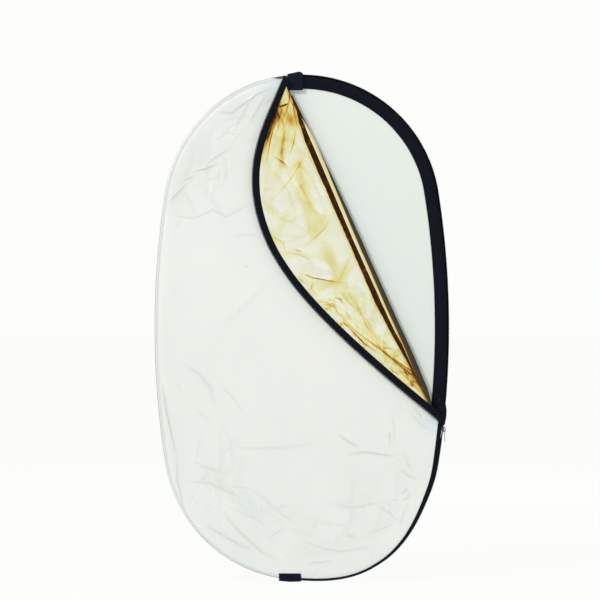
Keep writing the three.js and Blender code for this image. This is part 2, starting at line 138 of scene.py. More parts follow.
def outline(direction, offset=0.0):
    """x and z of the oval moved out by offset, where its normal points direction degrees from +X to +Z."""
    a = np.radians(np.asarray(direction, float))
    a = (a + np.pi) % (2 * np.pi) - np.pi
    right, left = np.abs(a) < TANGENT, np.abs(a) > np.pi - TANGENT
    cx = np.where(right, -SIDE_CENTRE, np.where(left, SIDE_CENTRE, 0.0))
    cz = np.where(right | left, 0.0, np.sign(a) * END_CENTRE)
    r = np.where(right | left, SIDE_RADIUS, END_RADIUS) + offset + fullness(direction)
    return cx + r * np.cos(a), cz + r * np.sin(a)


def run_of(x, z):
    """The length along a line of x and z up to each of its points."""
    return np.concatenate([[0], np.cumsum(np.hypot(np.diff(x), np.diff(z)))])


def along_of(line):
    """The length along a line in space up to each of its points."""
    return np.concatenate([[0], np.cumsum(np.linalg.norm(np.diff(line, axis=0), axis=1))])


def relaxed(line, rounds):
    """The line itself, evened out between its ends."""
    for _ in range(rounds):
        line[1:-1] = 0.25 * line[:-2] + 0.5 * line[1:-1] + 0.25 * line[2:]
    return line


def directions(first, last, step):
    """Directions from first to last about step apart along the oval, and the length up to each."""
    fine = np.linspace(first, last, 4001)
    along = run_of(*outline(fine))
    n = max(2, int(round(along[-1] / step)))
    at = np.linspace(0, along[-1], n + 1)
    return np.interp(at, along, fine), at


# ---------------------------------------------------------------- mesh helpers


def new_object(name, points, faces, uvs=None):
    mesh = bpy.data.meshes.new(name)
    mesh.from_pydata(
        np.asarray(points, float).tolist(), [],
        faces.tolist() if isinstance(faces, np.ndarray) else faces
    )
    if uvs is not None:
        layer = mesh.uv_layers.new(name="flat")
        layer.data.foreach_set("uv", np.asarray(uvs, np.float32).ravel())
    mesh.polygons.foreach_set("use_smooth", [True] * len(mesh.polygons))
    mesh.validate()
    o = bpy.data.objects.new(name, mesh)
    bpy.context.scene.collection.objects.link(o)
    return o


def grid(name, points, uv, closed_u=False, closed_v=False):
    """A quad grid from points[i, j] with uv[i, j], where a closed direction has an extra row in uv."""
    n, m = points.shape[:2]
    i = np.arange(n if closed_u else n - 1)[:, None]
    j = np.arange(m if closed_v else m - 1)[None, :]
    quad = np.stack(
        [
            i % n * m + j % m, (i + 1) % n * m + j % m, (i + 1) % n * m + (j + 1) % m,
            i % n * m + (j + 1) % m
        ],
        axis=-1
    ).reshape(-1, 4)
    corner = np.stack([uv[i, j], uv[i + 1, j], uv[i + 1, j + 1], uv[i, j + 1]], axis=2).reshape(-1, 2)
    return new_object(name, points.reshape(-1, 3), quad, corner)


def paint(o, **layers):
    """Sets shares at the vertices by name, each an array or one number for all of them."""
    for name, values in layers.items():
        a = o.data.attributes.new(name, "FLOAT", "POINT")
        a.data.foreach_set("value", np.full(len(o.data.vertices), np.ravel(values), np.float32))


def coords(o):
    co = np.zeros(len(o.data.vertices) * 3, np.float32)
    o.data.vertices.foreach_get("co", co)
    return co.reshape(-1, 3).astype(float)


def set_coords(o, co):
    o.data.vertices.foreach_set("co", np.asarray(co, np.float32).ravel())
    o.data.update()


def area_of(o):
    return sum(p.area for p in o.data.polygons)


def to_rest(points):
    """Points of the corner as it lies when zipped shut, taken to where they are at rest."""
    p = np.asarray(points, float)
    return p @ TO_REST[:3, :3].T + TO_REST[:3, 3]


def fold_place(p):
    """Distance down the fold line and distance out from it, of points at rest."""
    d = np.asarray(p, float) - HINGE
    return d @ DOWN, d @ ACROSS


def fold_point(s, a, y):
    """The point at rest at distance s down the fold line, a out from it, and depth y."""
    s, a, y = np.broadcast_arrays(*[np.asarray(v, float) for v in (s, a, y)])
    p = HINGE + s[..., None] * DOWN + a[..., None] * ACROSS
    p[..., 1] = y
    return p


def wander(points, scale, seed=0.0):
    """Smooth noise from -1 to 1 at each point, with features of about scale."""
    return np.array(
        [
            noise.noise(Vector((p[0] / scale + seed, p[1] / scale - seed, p[2] / scale)))
            for p in np.asarray(points, float)
        ]
    )


def waver(along, scale, seed):
    """Smooth noise at each length along a line."""
    return wander(np.stack([along, 0 * along, 0 * along], axis=-1), scale, seed)


def facets(points, scale, seed=0.0):
    """0 on the borders of crumpled facets of about that scale, and 1 inside them."""
    out = []
    for p in np.asarray(points, float):
        d = noise.voronoi(
            Vector((p[0] / scale + seed, p[2] / scale - seed, seed)), distance_metric="DISTANCE"
        )[0]
        out.append(min(1.0, (d[1] - d[0]) / 0.35))
    return np.array(out)


def creases(points, lines):
    """Height and shade at each point from (width, height, shade, [(x, z), ...]) creases, in mm."""
    x, z = np.asarray(points)[:, 0] * 1000, np.asarray(points)[:, 2] * 1000
    height, shade = np.zeros(len(x)), np.zeros(len(x))
    for width, rise, dark, line in lines:
        line = np.array(line, float)
        lengths = np.hypot(*np.diff(line, axis=0).T)
        near, along = np.full(len(x), 1e9), np.zeros(len(x))
        side = np.zeros(len(x))
        done = 0.0
        for (ax, az), (bx, bz), length in zip(line[:-1], line[1:], lengths):
            dx, dz = (bx - ax) / length, (bz - az) / length
            t = np.clip((x - ax) * dx + (z - az) * dz, 0, length)
            d = np.hypot(x - ax - t * dx, z - az - t * dz)
            better = d < near
            near = np.where(better, d, near)
            along = np.where(better, done + t, along)
            side = np.where(better, (x - ax) * dz - (z - az) * dx, side)
            done += length
        taper = np.sin(np.pi * np.clip(along / done, 0.02, 0.98)) ** 0.7
        u = near / width
        height += rise * 1e-3 * taper * np.exp(-u)
        # painted shade: a dark core along each crease and a softer painted shadow on its lee side
        core = np.exp(-((u * 2.0) ** 2))
        lee = 0.5 * np.exp(-0.9 * u) * smooth(side / width, -0.3, 0.5)
        shade = np.maximum(shade, dark * taper * np.maximum(core, lee))
    return height, shade


# ---------------------------------------------------------------- materials


class Finish:
    """A Principled material under construction."""

    def __init__(self, name, color, roughness=0.5, metallic=0.0, **sockets):
        self.m = bpy.data.materials.new(name)
        self.m.use_nodes = True
        self.t = self.m.node_tree
        self.b = self.t.nodes["Principled BSDF"]
        self.b.inputs["Base Color"].default_value = (*color, 1)
        self.b.inputs["Roughness"].default_value = roughness
        self.b.inputs["Metallic"].default_value = metallic
        for key, value in sockets.items():
            self.b.inputs[key.replace("_", " ")].default_value = value
        self.m.diffuse_color = (*color, 1)

    def node(self, kind, inputs=None, **settings):
        n = self.t.nodes.new("ShaderNode" + kind)
        for key, value in settings.items():
            setattr(n, key, value)
        for key, value in (inputs or {}).items():
            if isinstance(value, bpy.types.NodeSocket):
                self.t.links.new(value, n.inputs[key])
            else:
                n.inputs[key].default_value = value
        return n

    def flat(self, scale=(1, 1, 1)):
        """The flat cloth's own coordinates, in metres times scale."""
        uv = self.node("UVMap", uv_map="flat").outputs[0]
        return self.node("Mapping", {"Vector": uv, "Scale": scale}).outputs[0]

    def space(self, scale=(1, 1, 1)):
        """Coordinates in the piece's own space, for what has no flat cut."""
        at = self.node("TexCoord").outputs["Object"]
        return self.node("Mapping", {"Vector": at, "Scale": scale}).outputs[0]

    def noise(self, vector, scale, detail=3, rough=0.55):
        return self.node(
            "TexNoise", {"Vector": vector, "Scale": scale, "Detail": detail, "Roughness": rough}
        ).outputs["Fac"]

    def value(self, name):
        return self.node("Attribute", attribute_name=name).outputs["Fac"]

    def ramp(self, factor, stops, ease="LINEAR"):
        n = self.node("ValToRGB", {"Fac": factor})
        n.color_ramp.interpolation = ease
        elements = n.color_ramp.elements
        for i, (at, color) in enumerate(stops):
            e = elements[i] if i < 2 else elements.new(at)
            e.position = at
            e.color = (*color, 1) if len(color) == 3 else color
        return n.outputs["Color"]

    def math(self, operation, a, b=0.0):
        n = self.node("Math", operation=operation)
        for i, v in enumerate((a, b)):
            if isinstance(v, bpy.types.NodeSocket):
                self.t.links.new(v, n.inputs[i])
            else:
                n.inputs[i].default_value = v
        return n.outputs[0]

    def mix(self, factor, a, b, blend="MIX"):
        n = self.node("Mix", data_type="RGBA", blend_type=blend)
        for i, v in ((0, factor), (6, a), (7, b)):
            if isinstance(v, bpy.types.NodeSocket):
                self.t.links.new(v, n.inputs[i])
            else:
                n.inputs[i].default_value = v if i == 0 or len(v) == 4 else (*v, 1)
        return n.outputs[2]

    def weave(self, pitch=0.0006):
        """The height of a plain weave, from the flat coordinates."""
        a, b = [
            self.node(
                "TexWave", {"Vector": self.flat(), "Scale": 0.314 / pitch}, bands_direction=d,
                wave_profile="SIN"
            ).outputs["Fac"]
            for d in ("X", "Y")
        ]
        return self.math("MAXIMUM", a, b)

    def ribs(self, pitch=0.0012, direction="X"):
        return self.node(
            "TexWave",
            {"Vector": self.flat(), "Scale": 0.314 / pitch, "Distortion": 0.6, "Detail": 1.0},
            bands_direction=direction, wave_profile="SIN"
        ).outputs["Fac"]

    def bump(self, *layers):
        """Bump from (height, strength, distance in metres) layers, one over the other."""
        normal = None
        for height, strength, distance in layers:
            inputs = {"Height": height, "Strength": strength, "Distance": distance}
            if normal is not None:
                inputs["Normal"] = normal
            normal = self.node("Bump", inputs).outputs[0]
        self.t.links.new(normal, self.b.inputs["Normal"])
        return self

    def color(self, socket):
        self.t.links.new(socket, self.b.inputs["Base Color"])
        return self

    def rough(self, factor, low, high):
        n = self.node("MapRange", {"Value": factor, "To Min": low, "To Max": high})
        self.t.links.new(n.outputs[0], self.b.inputs["Roughness"])
        return self


def make_silver():
    f = Finish("silver_cloth", (0.8, 0.815, 0.785), 0.4, 0.12, Specular_IOR_Level=0.2)
    broad, mid = f.noise(f.flat(), 5.0, 4), f.noise(f.flat(), 26.0, 5, 0.6)
    base = f.ramp(
        broad, [(0.3, (0.81, 0.848, 0.81)), (0.5, (0.838, 0.856, 0.818)), (0.72, (0.87, 0.863, 0.834))]
    )
    # painted shade: the silver is darkened in its creases, in a mottle near the edge and towards the top
    base = f.mix(f.value("shade"), base, (0.5, 0.545, 0.51))
    # painted sheen: a painted bluish reflection by the two ends of the fold and along the bottom
    base = f.mix(f.math("MULTIPLY", f.value("cool"), 0.8), base, (0.74, 0.81, 0.87))
    f.color(base).rough(mid, 0.34, 0.5)
    return f.bump((f.weave(), 0.12, 0.0001), (mid, 0.25, 0.0012)).m


def make_gold():
    f = Finish("gold_cloth", (0.85, 0.8, 0.55), 0.3, 0.3, Specular_IOR_Level=0.08)
    fine = f.noise(f.flat(), 60.0, 5, 0.65)
    tone = f.math("ADD", f.value("tone"), f.math("MULTIPLY", f.math("SUBTRACT", fine, 0.5), 0.2))
    # the ramp's own two ends come first
    # painted reflection: the ramp runs from dark brown through orange and yellow to a pale cream highlight
    cloth = f.ramp(
        tone,
        [
            (0.0, (0.03, 0.011, 0.003)), (0.95, (0.868, 0.86, 0.735)), (0.13, (0.13, 0.05, 0.01)),
            (0.3, (0.6, 0.31, 0.05)), (0.5, (0.77, 0.66, 0.24)), (0.72, (0.81, 0.785, 0.44))
        ]
    )
    # painted shade: the far side of the fold, turned away from the light, is painted a dull olive
    f.color(f.mix(f.value("cool"), cloth, (0.062, 0.05, 0.034))).rough(fine, 0.22, 0.42)
    return f.bump((f.weave(), 0.06, 0.0001), (fine, 0.35, 0.0012)).m


def make_tape(name="binding_cloth", color=(0.0032, 0.0042, 0.0075), pitch=0.0013):
    f = Finish(name, color, 0.6, 0.0, Specular_IOR_Level=0.06)
    ribs, spots = f.ribs(pitch), f.noise(f.flat(), 40.0, 4)
    light = tuple(1.7 * c for c in color)
    f.color(f.mix(spots, color, light)).rough(spots, 0.45, 0.68)
    return f.bump((ribs, 0.35, 0.0003), (spots, 0.2, 0.0006)).m


def make_black():
    f = Finish("black_cloth", (0.012, 0.012, 0.014), 0.7, 0.0, Specular_IOR_Level=0.2)
    spots = f.noise(f.flat(), 22.0, 5)
    base = f.mix(spots, (0.01, 0.01, 0.012), (0.02, 0.02, 0.023))
    # painted highlights: the black cloth is lightened along its creases
    f.color(f.mix(f.value("shade"), base, (0.045, 0.045, 0.05))).rough(spots, 0.55, 0.8)
    return f.bump((f.weave(), 0.3, 0.0002), (spots, 0.3, 0.0015)).m


def make_white():
    f = Finish("white_cloth", (0.86, 0.86, 0.84), 0.65, 0.0)
    spots = f.noise(f.flat(), 22.0, 4)
    f.color(f.mix(spots, (0.84, 0.84, 0.82), (0.88, 0.88, 0.86)))
    return f.bump((f.weave(), 0.15, 0.0001), (spots, 0.2, 0.001)).m


def make_diffuser():
    f = Finish("diffuser_cloth", (0.79, 0.84, 0.785), 0.5, 0.0)
    broad = f.noise(f.flat(), 3.0, 3)
    base = f.mix(broad, (0.82, 0.878, 0.83), (0.845, 0.89, 0.84))
    f.color(base).bump((f.weave(0.0008), 0.15, 0.0001), (broad, 0.3, 0.002))
    through = f.node("BsdfTranslucent", {"Color": base})
    both = f.node("MixShader", {"Fac": 0.1})
    f.t.links.new(f.b.outputs[0], both.inputs[1])
    f.t.links.new(through.outputs[0], both.inputs[2])
    f.t.links.new(both.outputs[0], f.t.nodes["Material Output"].inputs["Surface"])
    return f.m


def make_hem():
    f = Finish("side_hem", (0.8, 0.815, 0.785), 0.4, 0.1)
    spots = f.noise(f.flat(), 30.0, 4)
    base = f.mix(spots, (0.775, 0.8, 0.77), (0.83, 0.835, 0.81))
    f.color(f.mix(f.value("shade"), base, (0.035, 0.038, 0.042))).rough(spots, 0.35, 0.6)
    return f.bump((f.ribs(0.0016), 0.4, 0.0003), (spots, 0.3, 0.0008)).m


def make_thread(name, color):
    f = Finish(name, color, 0.5, 0.0, Specular_IOR_Level=0.12)
    twist = f.noise(f.space((900, 900, 900)), 1.0, 2)
    f.color(f.mix(twist, tuple(0.7 * c for c in color), tuple(1.3 * c for c in color)))
    return f.bump((twist, 0.5, 0.0002)).m


def make_coil():
    f = Finish("coil_nylon", (0.006, 0.0065, 0.009), 0.4, 0.0, Specular_IOR_Level=0.15)
    spots = f.noise(f.space((1, 1, 1)), 400.0, 3)
    f.color(f.mix(spots, (0.004, 0.0045, 0.006), (0.01, 0.011, 0.014)))
    return f.rough(spots, 0.35, 0.5).m


def make_metal(name, color, roughness, wear):
    f = Finish(name, color, roughness, 1.0)
    grain = f.noise(f.space((300, 300, 2200)), 1.0, 4, 0.7)
    cast = f.noise(f.space((1, 1, 1)), 700.0, 4)
    dark = tuple(0.55 * c for c in color)
    f.color(f.mix(f.math("MULTIPLY", cast, wear), color, dark))
    f.rough(grain, roughness * 0.75, roughness * 1.35)
    return f.bump((cast, 0.35, 0.0002), (grain, 0.15, 0.0001)).m


SILVER, GOLD, BINDING = make_silver(), make_gold(), make_tape()
BLACK, WHITE, DIFFUSER, HEM = make_black(), make_white(), make_diffuser(), make_hem()
TAB_CLOTH = make_tape("tab_webbing", (0.005, 0.0068, 0.0145), 0.0022)
THREAD = make_thread("black_thread", (0.008, 0.0095, 0.014))
GREY_THREAD = make_thread("grey_thread", (0.32, 0.33, 0.33))
COIL = make_coil()
ZINC = make_metal("zinc_alloy", (0.16, 0.17, 0.19), 0.45, 0.6)
STEEL = make_metal("spring_steel", (0.58, 0.6, 0.62), 0.3, 0.25)


def dress(o, material):
    o.data.materials.clear()
    o.data.materials.append(material)
    return o


def finish_sheet(o, material, slot, node, body="disc", **sheet):
    """Gives a sheet its material, its body and the CAD node it stands for, which it hides; the flat size in sheet
    is not used.
    """
    dress(o, material)
    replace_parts(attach(o, body), node)


def thicken(o, thickness):
    thick = o.modifiers.new("thickness", "SOLIDIFY")
    thick.thickness, thick.offset = thickness, 0.0


# ---------------------------------------------------------------- panels


def panel(name, offset, y, cell=0.004):
    """The oval's inside, its edge moved out by offset, as a fitted grid at depth y, laid flat in x and z."""
    x, z = outline(np.linspace(90, 450, 7201), offset)
    low = np.argmin(z)
    left, right = slice(0, low + 1), slice(low, None)
    along = run_of(x[right], z[right])
    at = np.linspace(0.004, along[-1] - 0.004, int(along[-1] / cell * FINE))
    rows = np.interp(at, along, z[right])
    x_right = np.interp(rows, z[right], x[right])
    x_left = np.interp(rows, z[left][::-1], x[left][::-1])
    share = np.linspace(0, 1, int(2 * HALF_WIDTH / cell * FINE) | 1)
    p = np.zeros((len(rows), len(share), 3))
    p[..., 0] = x_left[:, None] + (x_right - x_left)[:, None] * share
    p[..., 1] = y
    p[..., 2] = rows[:, None]
    return grid(name, p, p[..., [0, 2]])


def edit_mesh(o, change):
    """Runs change on the object's mesh, opened for editing."""
    bm = bmesh.new()
    bm.from_mesh(o.data)
    change(bm)
    bm.to_mesh(o.data)
    bm.free()


def slice_at(o, point, normal):
    """New edges in the mesh where a plane crosses it."""

    def cut(bm):
        whole = bm.verts[:] + bm.edges[:] + bm.faces[:]
        bmesh.ops.bisect_plane(bm, geom=whole, plane_co=Vector(point), plane_no=Vector(normal))

    edit_mesh(o, cut)


def drop_faces(o, unwanted):
    """Removes the faces whose centres (an array of points) unwanted() picks out."""

    def drop(bm):
        picked = unwanted(np.array([f.calc_center_median() for f in bm.faces]))
        gone = [f for f, out in zip(bm.faces[:], picked) if out]
        bmesh.ops.delete(bm, geom=gone, context="FACES")

    edit_mesh(o, drop)


def inset(co):
    """How far inside the oval's outline each point is, in metres."""
    x, z = np.abs(co[:, 0]), co[:, 2]
    side = SIDE_RADIUS - np.hypot(x + SIDE_CENTRE, z)
    away = np.abs(z) - END_CENTRE
    end = END_RADIUS - np.hypot(x, away)
    end += fullness(np.degrees(np.arctan2(np.sign(z) * away, co[:, 0])))
    on_side = np.abs(np.arctan2(z, x + SIDE_CENTRE)) < TANGENT
    return np.where(on_side, side, end)


def loose_lines(seed, count, widths, shades, lengths):
    """Seeded creases that run in from the left and lower rim."""
    r = np.random.default_rng(seed)
    lines = []
    for _ in range(count):
        at = r.uniform(100, 345)
        x, z = outline(at, -r.uniform(0.012, 0.15))
        lean = math.radians(at + r.uniform(25, 80) * r.choice([-1, 1]))
        length = r.uniform(*lengths)
        bend = r.normal(0, 0.08 * length, 2)
        ends = [
            (
                x - math.cos(lean) * length * t + bend[0] * b,
                z - math.sin(lean) * length * t + bend[1] * b
            ) for t,
            b in ((0, 0), (0.3, 0.8), (0.65, 0.7), (1, 0))
        ]
        lines.append(
            (
                r.uniform(*widths), r.uniform(0.4, 1.2) * r.choice([-1, 1]), r.uniform(*shades),
                [(1e3 * u, 1e3 * v) for u, v in ends]
            )
        )
    return lines


# Creases of the front panel: width, height and shade, then the points they run through, mm.
FRONT_CREASES = [
    (7, 1.2, 0.34, [(-62, 580), (-110, 560), (-170, 515), (-206, 520)]),
    (9, 1.2, 0.2, [(-85, 565), (-105, 530), (-130, 485)]),
    (8, 1.0, 0.14, [(-125, 545), (-150, 500), (-165, 470)]),
    (8, 0.8, 0.1, [(-60, 540), (-80, 500), (-88, 460)]),
    (4, 1.6, 0.62, [(-203, 393), (-230, 382), (-262, 375)]),
    (4, 1.4, 0.4, [(-262, 366), (-275, 357), (-290, 354)]),
    (6, 1.0, 0.28, [(-272, 350), (-300, 322), (-326, 294)]),
    (5, 1.0, 0.24, [(-165, 435), (-190, 420), (-215, 405), (-236, 380)]),
    (6, 1.1, 0.22, [(-122, 298), (-183, 266), (-215, 282), (-262, 262), (-322, 270)]),
    (5, 0.7, 0.14, [(-110, 222), (-150, 221), (-172, 214)]), (3, 0.6, 0.3, [(-130, 147), (-137, 144)]),
    (9, 1.2, 0.14, [(-299, -80), (-247, -112), (-222, -144), (-211, -190)]),
    (7, 0.9, 0.12, [(-200, -134), (-166, -170), (-139, -211)]),
    (7, 0.8, 0.1, [(-173, -259), (-150, -291), (-60, -291), (40, -280)]),
    (4, 1.6, 0.45, [(-340, -120), (-327, -195), (-313, -262), (-303, -310)]),
    (5, 1.4, 0.32, [(-303, -300), (-300, -370), (-284, -435), (-268, -470)]),
    (8, 1.1, 0.2, [(-278, -370), (-224, -375), (-174, -398), (-132, -416)]),
    (7, 0.9, 0.14, [(-262, -322), (-215, -345), (-190, -352)]),
    (8, 1.0, 0.2, [(-196, -442), (-154, -488), (-101, -538), (-60, -560)]),
    (7, 0.9, 0.14, [(-185, -428), (-106, -465), (-80, -480)]),
    (7, 1.0, 0.2, [(-240, -470), (-211, -489), (-143, -528), (-106, -536)]),
    (8, 0.8, 0.1, [(-125, -384), (-46, -452), (-7, -481)]),
    (6, 0.9, 0.18, [(-7, -510), (45, -531), (95, -540), (176, -526)]),
    (5, 0.7, 0.22, [(12, -568), (45, -566), (73, -562)]),
    (7, 1.0, 0.16, [(64, -423), (122, -435), (196, -420)]),
    (5, 1.2, 0.34, [(87, -258), (110, -275), (140, -290)]),
    (4, 1.3, 0.42, [(107, -307), (151, -300), (227, -311)]),
    (3, 1.1, 0.48, [(211, -245), (212, -270), (211, -292)]),
    (4, 0.8, 0.22, [(218, -214), (222, -250), (221, -287)]),
    (4, 1.0, 0.3, [(238, -342), (256, -357), (280, -368)]),
    (4, 1.0, 0.34, [(253, -384), (247, -396), (238, -404)]),
    (4, 0.8, 0.22, [(264, -398), (250, -414), (240, -420)]),
    (5, 0.9, 0.24, [(180, -431), (210, -446), (230, -467)]),
    (6, 0.9, 0.16, [(150, -500), (190, -486), (226, -470)]),
    (4, 1.4, 0.34, [(262, -190), (300, -222), (326, -238)]),
    (4, 1.2, 0.3, [(274, -186), (306, -212), (330, -230)]),
    (5, 1.0, 0.2, [(255, -200), (290, -238), (318, -252)])
]

# Creases of the gold lining at rest, with their painted shade: width, height and shade, then the points they run
# through, mm.
GOLD_CREASES = [
    (5.5, -2.4, 1.0, [(-58, 529), (-46, 532), (-30, 538)]),
    (3.4, -2.0, 0.7, [(-62, 500), (-74, 455), (-86, 392)]),
    (3.2, 1.6, 0.68, [(-15, 480), (-20, 440), (-32, 405)]),
    (3.0, -1.8, 0.74, [(-70, 413), (-50, 400), (-30, 384)]),
    (3.4, 1.8, 0.5, [(10, 416), (-28, 355), (-57, 319), (-80, 297)]),
    (5, -1.6, 0.6, [(-30, 588), (-33, 540), (-43, 497)]),
    (4, 1.4, 0.55, [(-25, 575), (-22, 520), (-13, 474)]),
    (5, -1.6, 0.55, [(-44, 556), (-66, 505), (-84, 445), (-90, 425)]),
    (5, -1.2, 0.42, [(-38, 560), (-52, 510), (-58, 470)]),
    (4, 1.2, 0.5, [(-52, 510), (-43, 483), (-50, 465)]),
    (4, 1.6, 0.5, [(67, 265), (55, 237), (23, 207), (3, 189)]),
    (3, -2.2, 0.96, [(5, 128), (27, 119), (59, 113), (85, 109)]),
    (4, 1.0, 0.3, [(88, 112), (100, 135), (112, 165)]),
    (4, 1.5, 0.42, [(-53, 179), (-5, 174), (19, 161), (28, 133)]),
    (2.6, -1.4, 0.78, [(-19, 190), (-10, 185), (3, 182)]),
    (4, 1.4, 0.45, [(-76, 221), (-45, 203), (-38, 181)]),
    (3, -1.0, 0.42, [(8, 150), (5, 131), (-14, 122)]),
    (4, 1.2, 0.35, [(80, 100), (115, 57), (150, 23)]),
    (4, -1.4, 0.55, [(46, 53), (75, 57), (87, 35), (117, 18)]),
    (5, -1.8, 0.66, [(66, 56), (128, -8), (197, -59), (268, -118), (306, -182)]),
    (4, -2.2, 0.88, [(104, 10), (150, -39), (188, -64)]),
    (4, 1.4, 0.45, [(126, 70), (155, 3), (196, -47)]),
    (4, -1.4, 0.6, [(190, -62), (224, -78), (262, -105), (292, -152)]),
    (4, 1.2, 0.5, [(226, -98), (258, -128), (292, -166)]),
    (4, 1.0, 0.36, [(136, 44), (176, -16), (226, -66), (262, -100)]),
    (4, 0.9, 0.25, [(-92, 300), (-74, 290), (-66, 262)])
]
# Where the gold lining is painted yellower, as painted reflection: centre, reach along and across, lean in
# degrees, strength.
GOLD_POOLS = [
    (14, 302, 92, 15, 103, 0.3), (-2, 372, 46, 9, 96, 0.2), (34, 236, 34, 12, 60, 0.2),
    (-48, 246, 34, 10, 62, 0.2), (68, 168, 40, 12, 112, 0.24), (-40, 450, 60, 11, 78, 0.18),
    (-28, 545, 48, 12, 95, 0.2), (-78, 470, 66, 7, 72, 0.5), (-58, 505, 26, 12, 70, 0.34),
    (-27, 497, 22, 10, 120, 0.4), (-52, 390, 48, 10, 80, 0.18), (118, 70, 46, 12, 128, 0.2),
    (170, -25, 60, 9, 132, 0.24), (230, -85, 60, 9, 135, 0.28), (285, -148, 50, 9, 130, 0.3),
    (60, 100, 34, 8, 24, 0.2), (98, 128, 44, 8, 68, 0.2), (-60, 205, 32, 8, 128, 0.26)
]


def front_relief(co):
    """How far the front cover stands towards the viewer, and its shade, at each point."""
    deep = inset(co)
    drawn = [
        (0.85 * width, 1.6 * rise, min(0.1 + 1.6 * dark, 0.9), line) for width, rise, dark,
        line in FRONT_CREASES
    ]
    small = loose_lines(5, 90, (2.5, 5.5), (0.08, 0.34), (0.02, 0.07))
    broad = loose_lines(8, 34, (9, 16), (0.06, 0.17), (0.09, 0.2))
    lift, shade = creases(co, drawn + small + broad)
    lift += 0.0013 * wander(co, 0.16, 3.1) + 0.0006 * wander(co, 0.05, 7.7)
    edge_zone = 1 - smooth(deep, 0.1, 0.3)
    # painted shade: a mottle near the edge and a darker top, added to the creases' painted shade
    shade = shade + 0.08 * wander(co, 0.09, 6.4) * edge_zone + 0.12 * smooth(co[:, 2], 0.22, 0.46)
    shade = np.clip(shade, 0, 1)
    lift *= smooth(deep, 0.004, 0.022)
    # the rim presses the cloth out in a shallow band along the edge
    lift += 0.0011 * smooth(deep, 0.008, 0.018) * (1 - smooth(deep, 0.028, 0.06))
    return lift, shade


def painted_sheen_at(co):
    """How much painted bluish sheen, a painted reflection, each point has by the two ends of the fold and along
    the bottom.
    """
    tip = np.hypot(co[:, 0] + 0.06, co[:, 2] - 0.6)
    slide = np.hypot(co[:, 0] - 0.325, co[:, 2] + 0.225)
    low = smooth(-co[:, 2], 0.45, 0.62) * (1 - smooth(inset(co), 0.012, 0.03))
    return np.clip(
        0.8 * np.exp(-((tip / 0.045) ** 2)) + 0.9 * np.exp(-((slide / 0.035) ** 2)) + 0.4 * low, 0, 1
    )


def past_cut(points):
    """Which points lie where the folded corner has left the front panel."""
    s, a = fold_place(points)
    return np.where(s < STRIP_END, a > -STRIP, a > TURN_EDGE)


def make_front_panel():
    for name, y, cell, material, slot, node in (
        ("front_silver", -OUTER_Y, 0.0029, SILVER, "silver_cloth", "cover_front_outer"),
        ("front_gold_lining", -LINING_Y, 0.007, GOLD, "gold_cloth", "cover_front_lining")
    ):
        o = panel(name, PANEL_EDGE, y, cell)
        slice_at(o, fold_point(0, -STRIP, y), ACROSS)
        slice_at(o, fold_point(0, TURN_EDGE, y), ACROSS)
        slice_at(o, fold_point(STRIP_END, 0, y), DOWN)
        drop_faces(o, past_cut)
        flat = area_of(o)
        co = coords(o)
        s, a = fold_place(co)
        lift, shade = front_relief(co)
        calm = np.maximum(smooth(-STRIP - a, 0.0, 0.03), smooth(s, STRIP_END, STRIP_END + 0.02))
        co[:, 1] -= lift * calm
        set_coords(o, co)
        # painted shade and painted sheen
        paint(o, shade=shade, cool=painted_sheen_at(co), tone=0.72)
        finish_sheet(
            o, material, slot, node, flat=COVER_FLAT, area=round(flat, 4), held="stretched",
            rests_on=["rim_binding"]
        )


def make_back_panel():
    size = (4, 9), (0.04, 0.2), (0.03, 0.1)  # width, shade and length of its creases
    for name, y, edge, cell, material, slot, node in (
        ("back_black", OUTER_Y, PANEL_EDGE, 0.0045, BLACK, "black_cloth", "cover_back_outer"),
        ("back_white_lining", LINING_Y, -0.0095, 0.008, WHITE, "white_cloth", "cover_back_lining")
    ):
        o = panel(name, edge, y, cell)
        flat = area_of(o)
        co = coords(o)
        right = [(w, h, s, [(-x, z) for x, z in line]) for w, h, s, line in loose_lines(11, 60, *size)]
        lift, shade = creases(co, right + loose_lines(23, 50, *size))
        lift += 0.001 * wander(co, 0.14, 9.2)
        lift *= smooth(inset(co), 0.018, 0.04)
        co[:, 1] += lift
        set_coords(o, co)
        paint(o, shade=shade)
        finish_sheet(
            o, material, slot, node, flat=COVER_FLAT, area=round(flat, 4), held="stretched",
            rests_on=["rim_binding"]
        )


def make_diffuser_panel():
    o = panel("diffuser_sheet", -0.014, 0.0, 0.006)
    flat = area_of(o)
    co = coords(o)
    co[:, 1] += 0.0005 * wander(co, 0.2, 1.3) * smooth(inset(co), 0.03, 0.09)
    set_coords(o, co)
    finish_sheet(
        o, DIFFUSER, "diffuser_cloth", "diffuser_panel", flat=DIFFUSER_FLAT, area=round(flat, 4),
        held="stretched", rests_on=["rim_binding"]
    )


# ---------------------------------------------------------------- the folded corner


TIP_OUTER, TIP_INNER = (-0.0415, 0.6045), (-0.0325, 0.5955)  # the tape's ends, x and z
# How far the corner's edge is out of the oval when it is shut, against the length up from DRIFT_FROM.
EDGE_DRIFT = [
    (-0.06, -0.006), (0.0, -0.0075), (0.1, -0.005), (0.2, -0.001), (0.3, 0.005), (0.42, 0.0105),
    (0.5, 0.0085), (0.57, 0.0005), (0.68, -0.003), (0.76, -0.005), (0.85, -0.0078), (0.9, -0.005),
    (0.95, 0.0015), (1.0, 0.004)
]
CORNER_FIRST, CORNER_LAST, DRIFT_FROM = -6.5, 74.5, -5.1  # directions, degrees


def drift(direction):
    fine = np.linspace(CORNER_FIRST - 1, CORNER_LAST + 2, 600)
    along = run_of(*outline(fine))
    along -= np.interp(DRIFT_FROM, fine, along)
    length = np.interp(direction, fine, along)
    k, v = np.array(EDGE_DRIFT).T
    return np.mean([np.interp(length + d, k, v) for d in np.linspace(-0.05, 0.05, 11)], axis=0)


def rest_y(y_shut):
    return 2 * HINGE[1] - y_shut


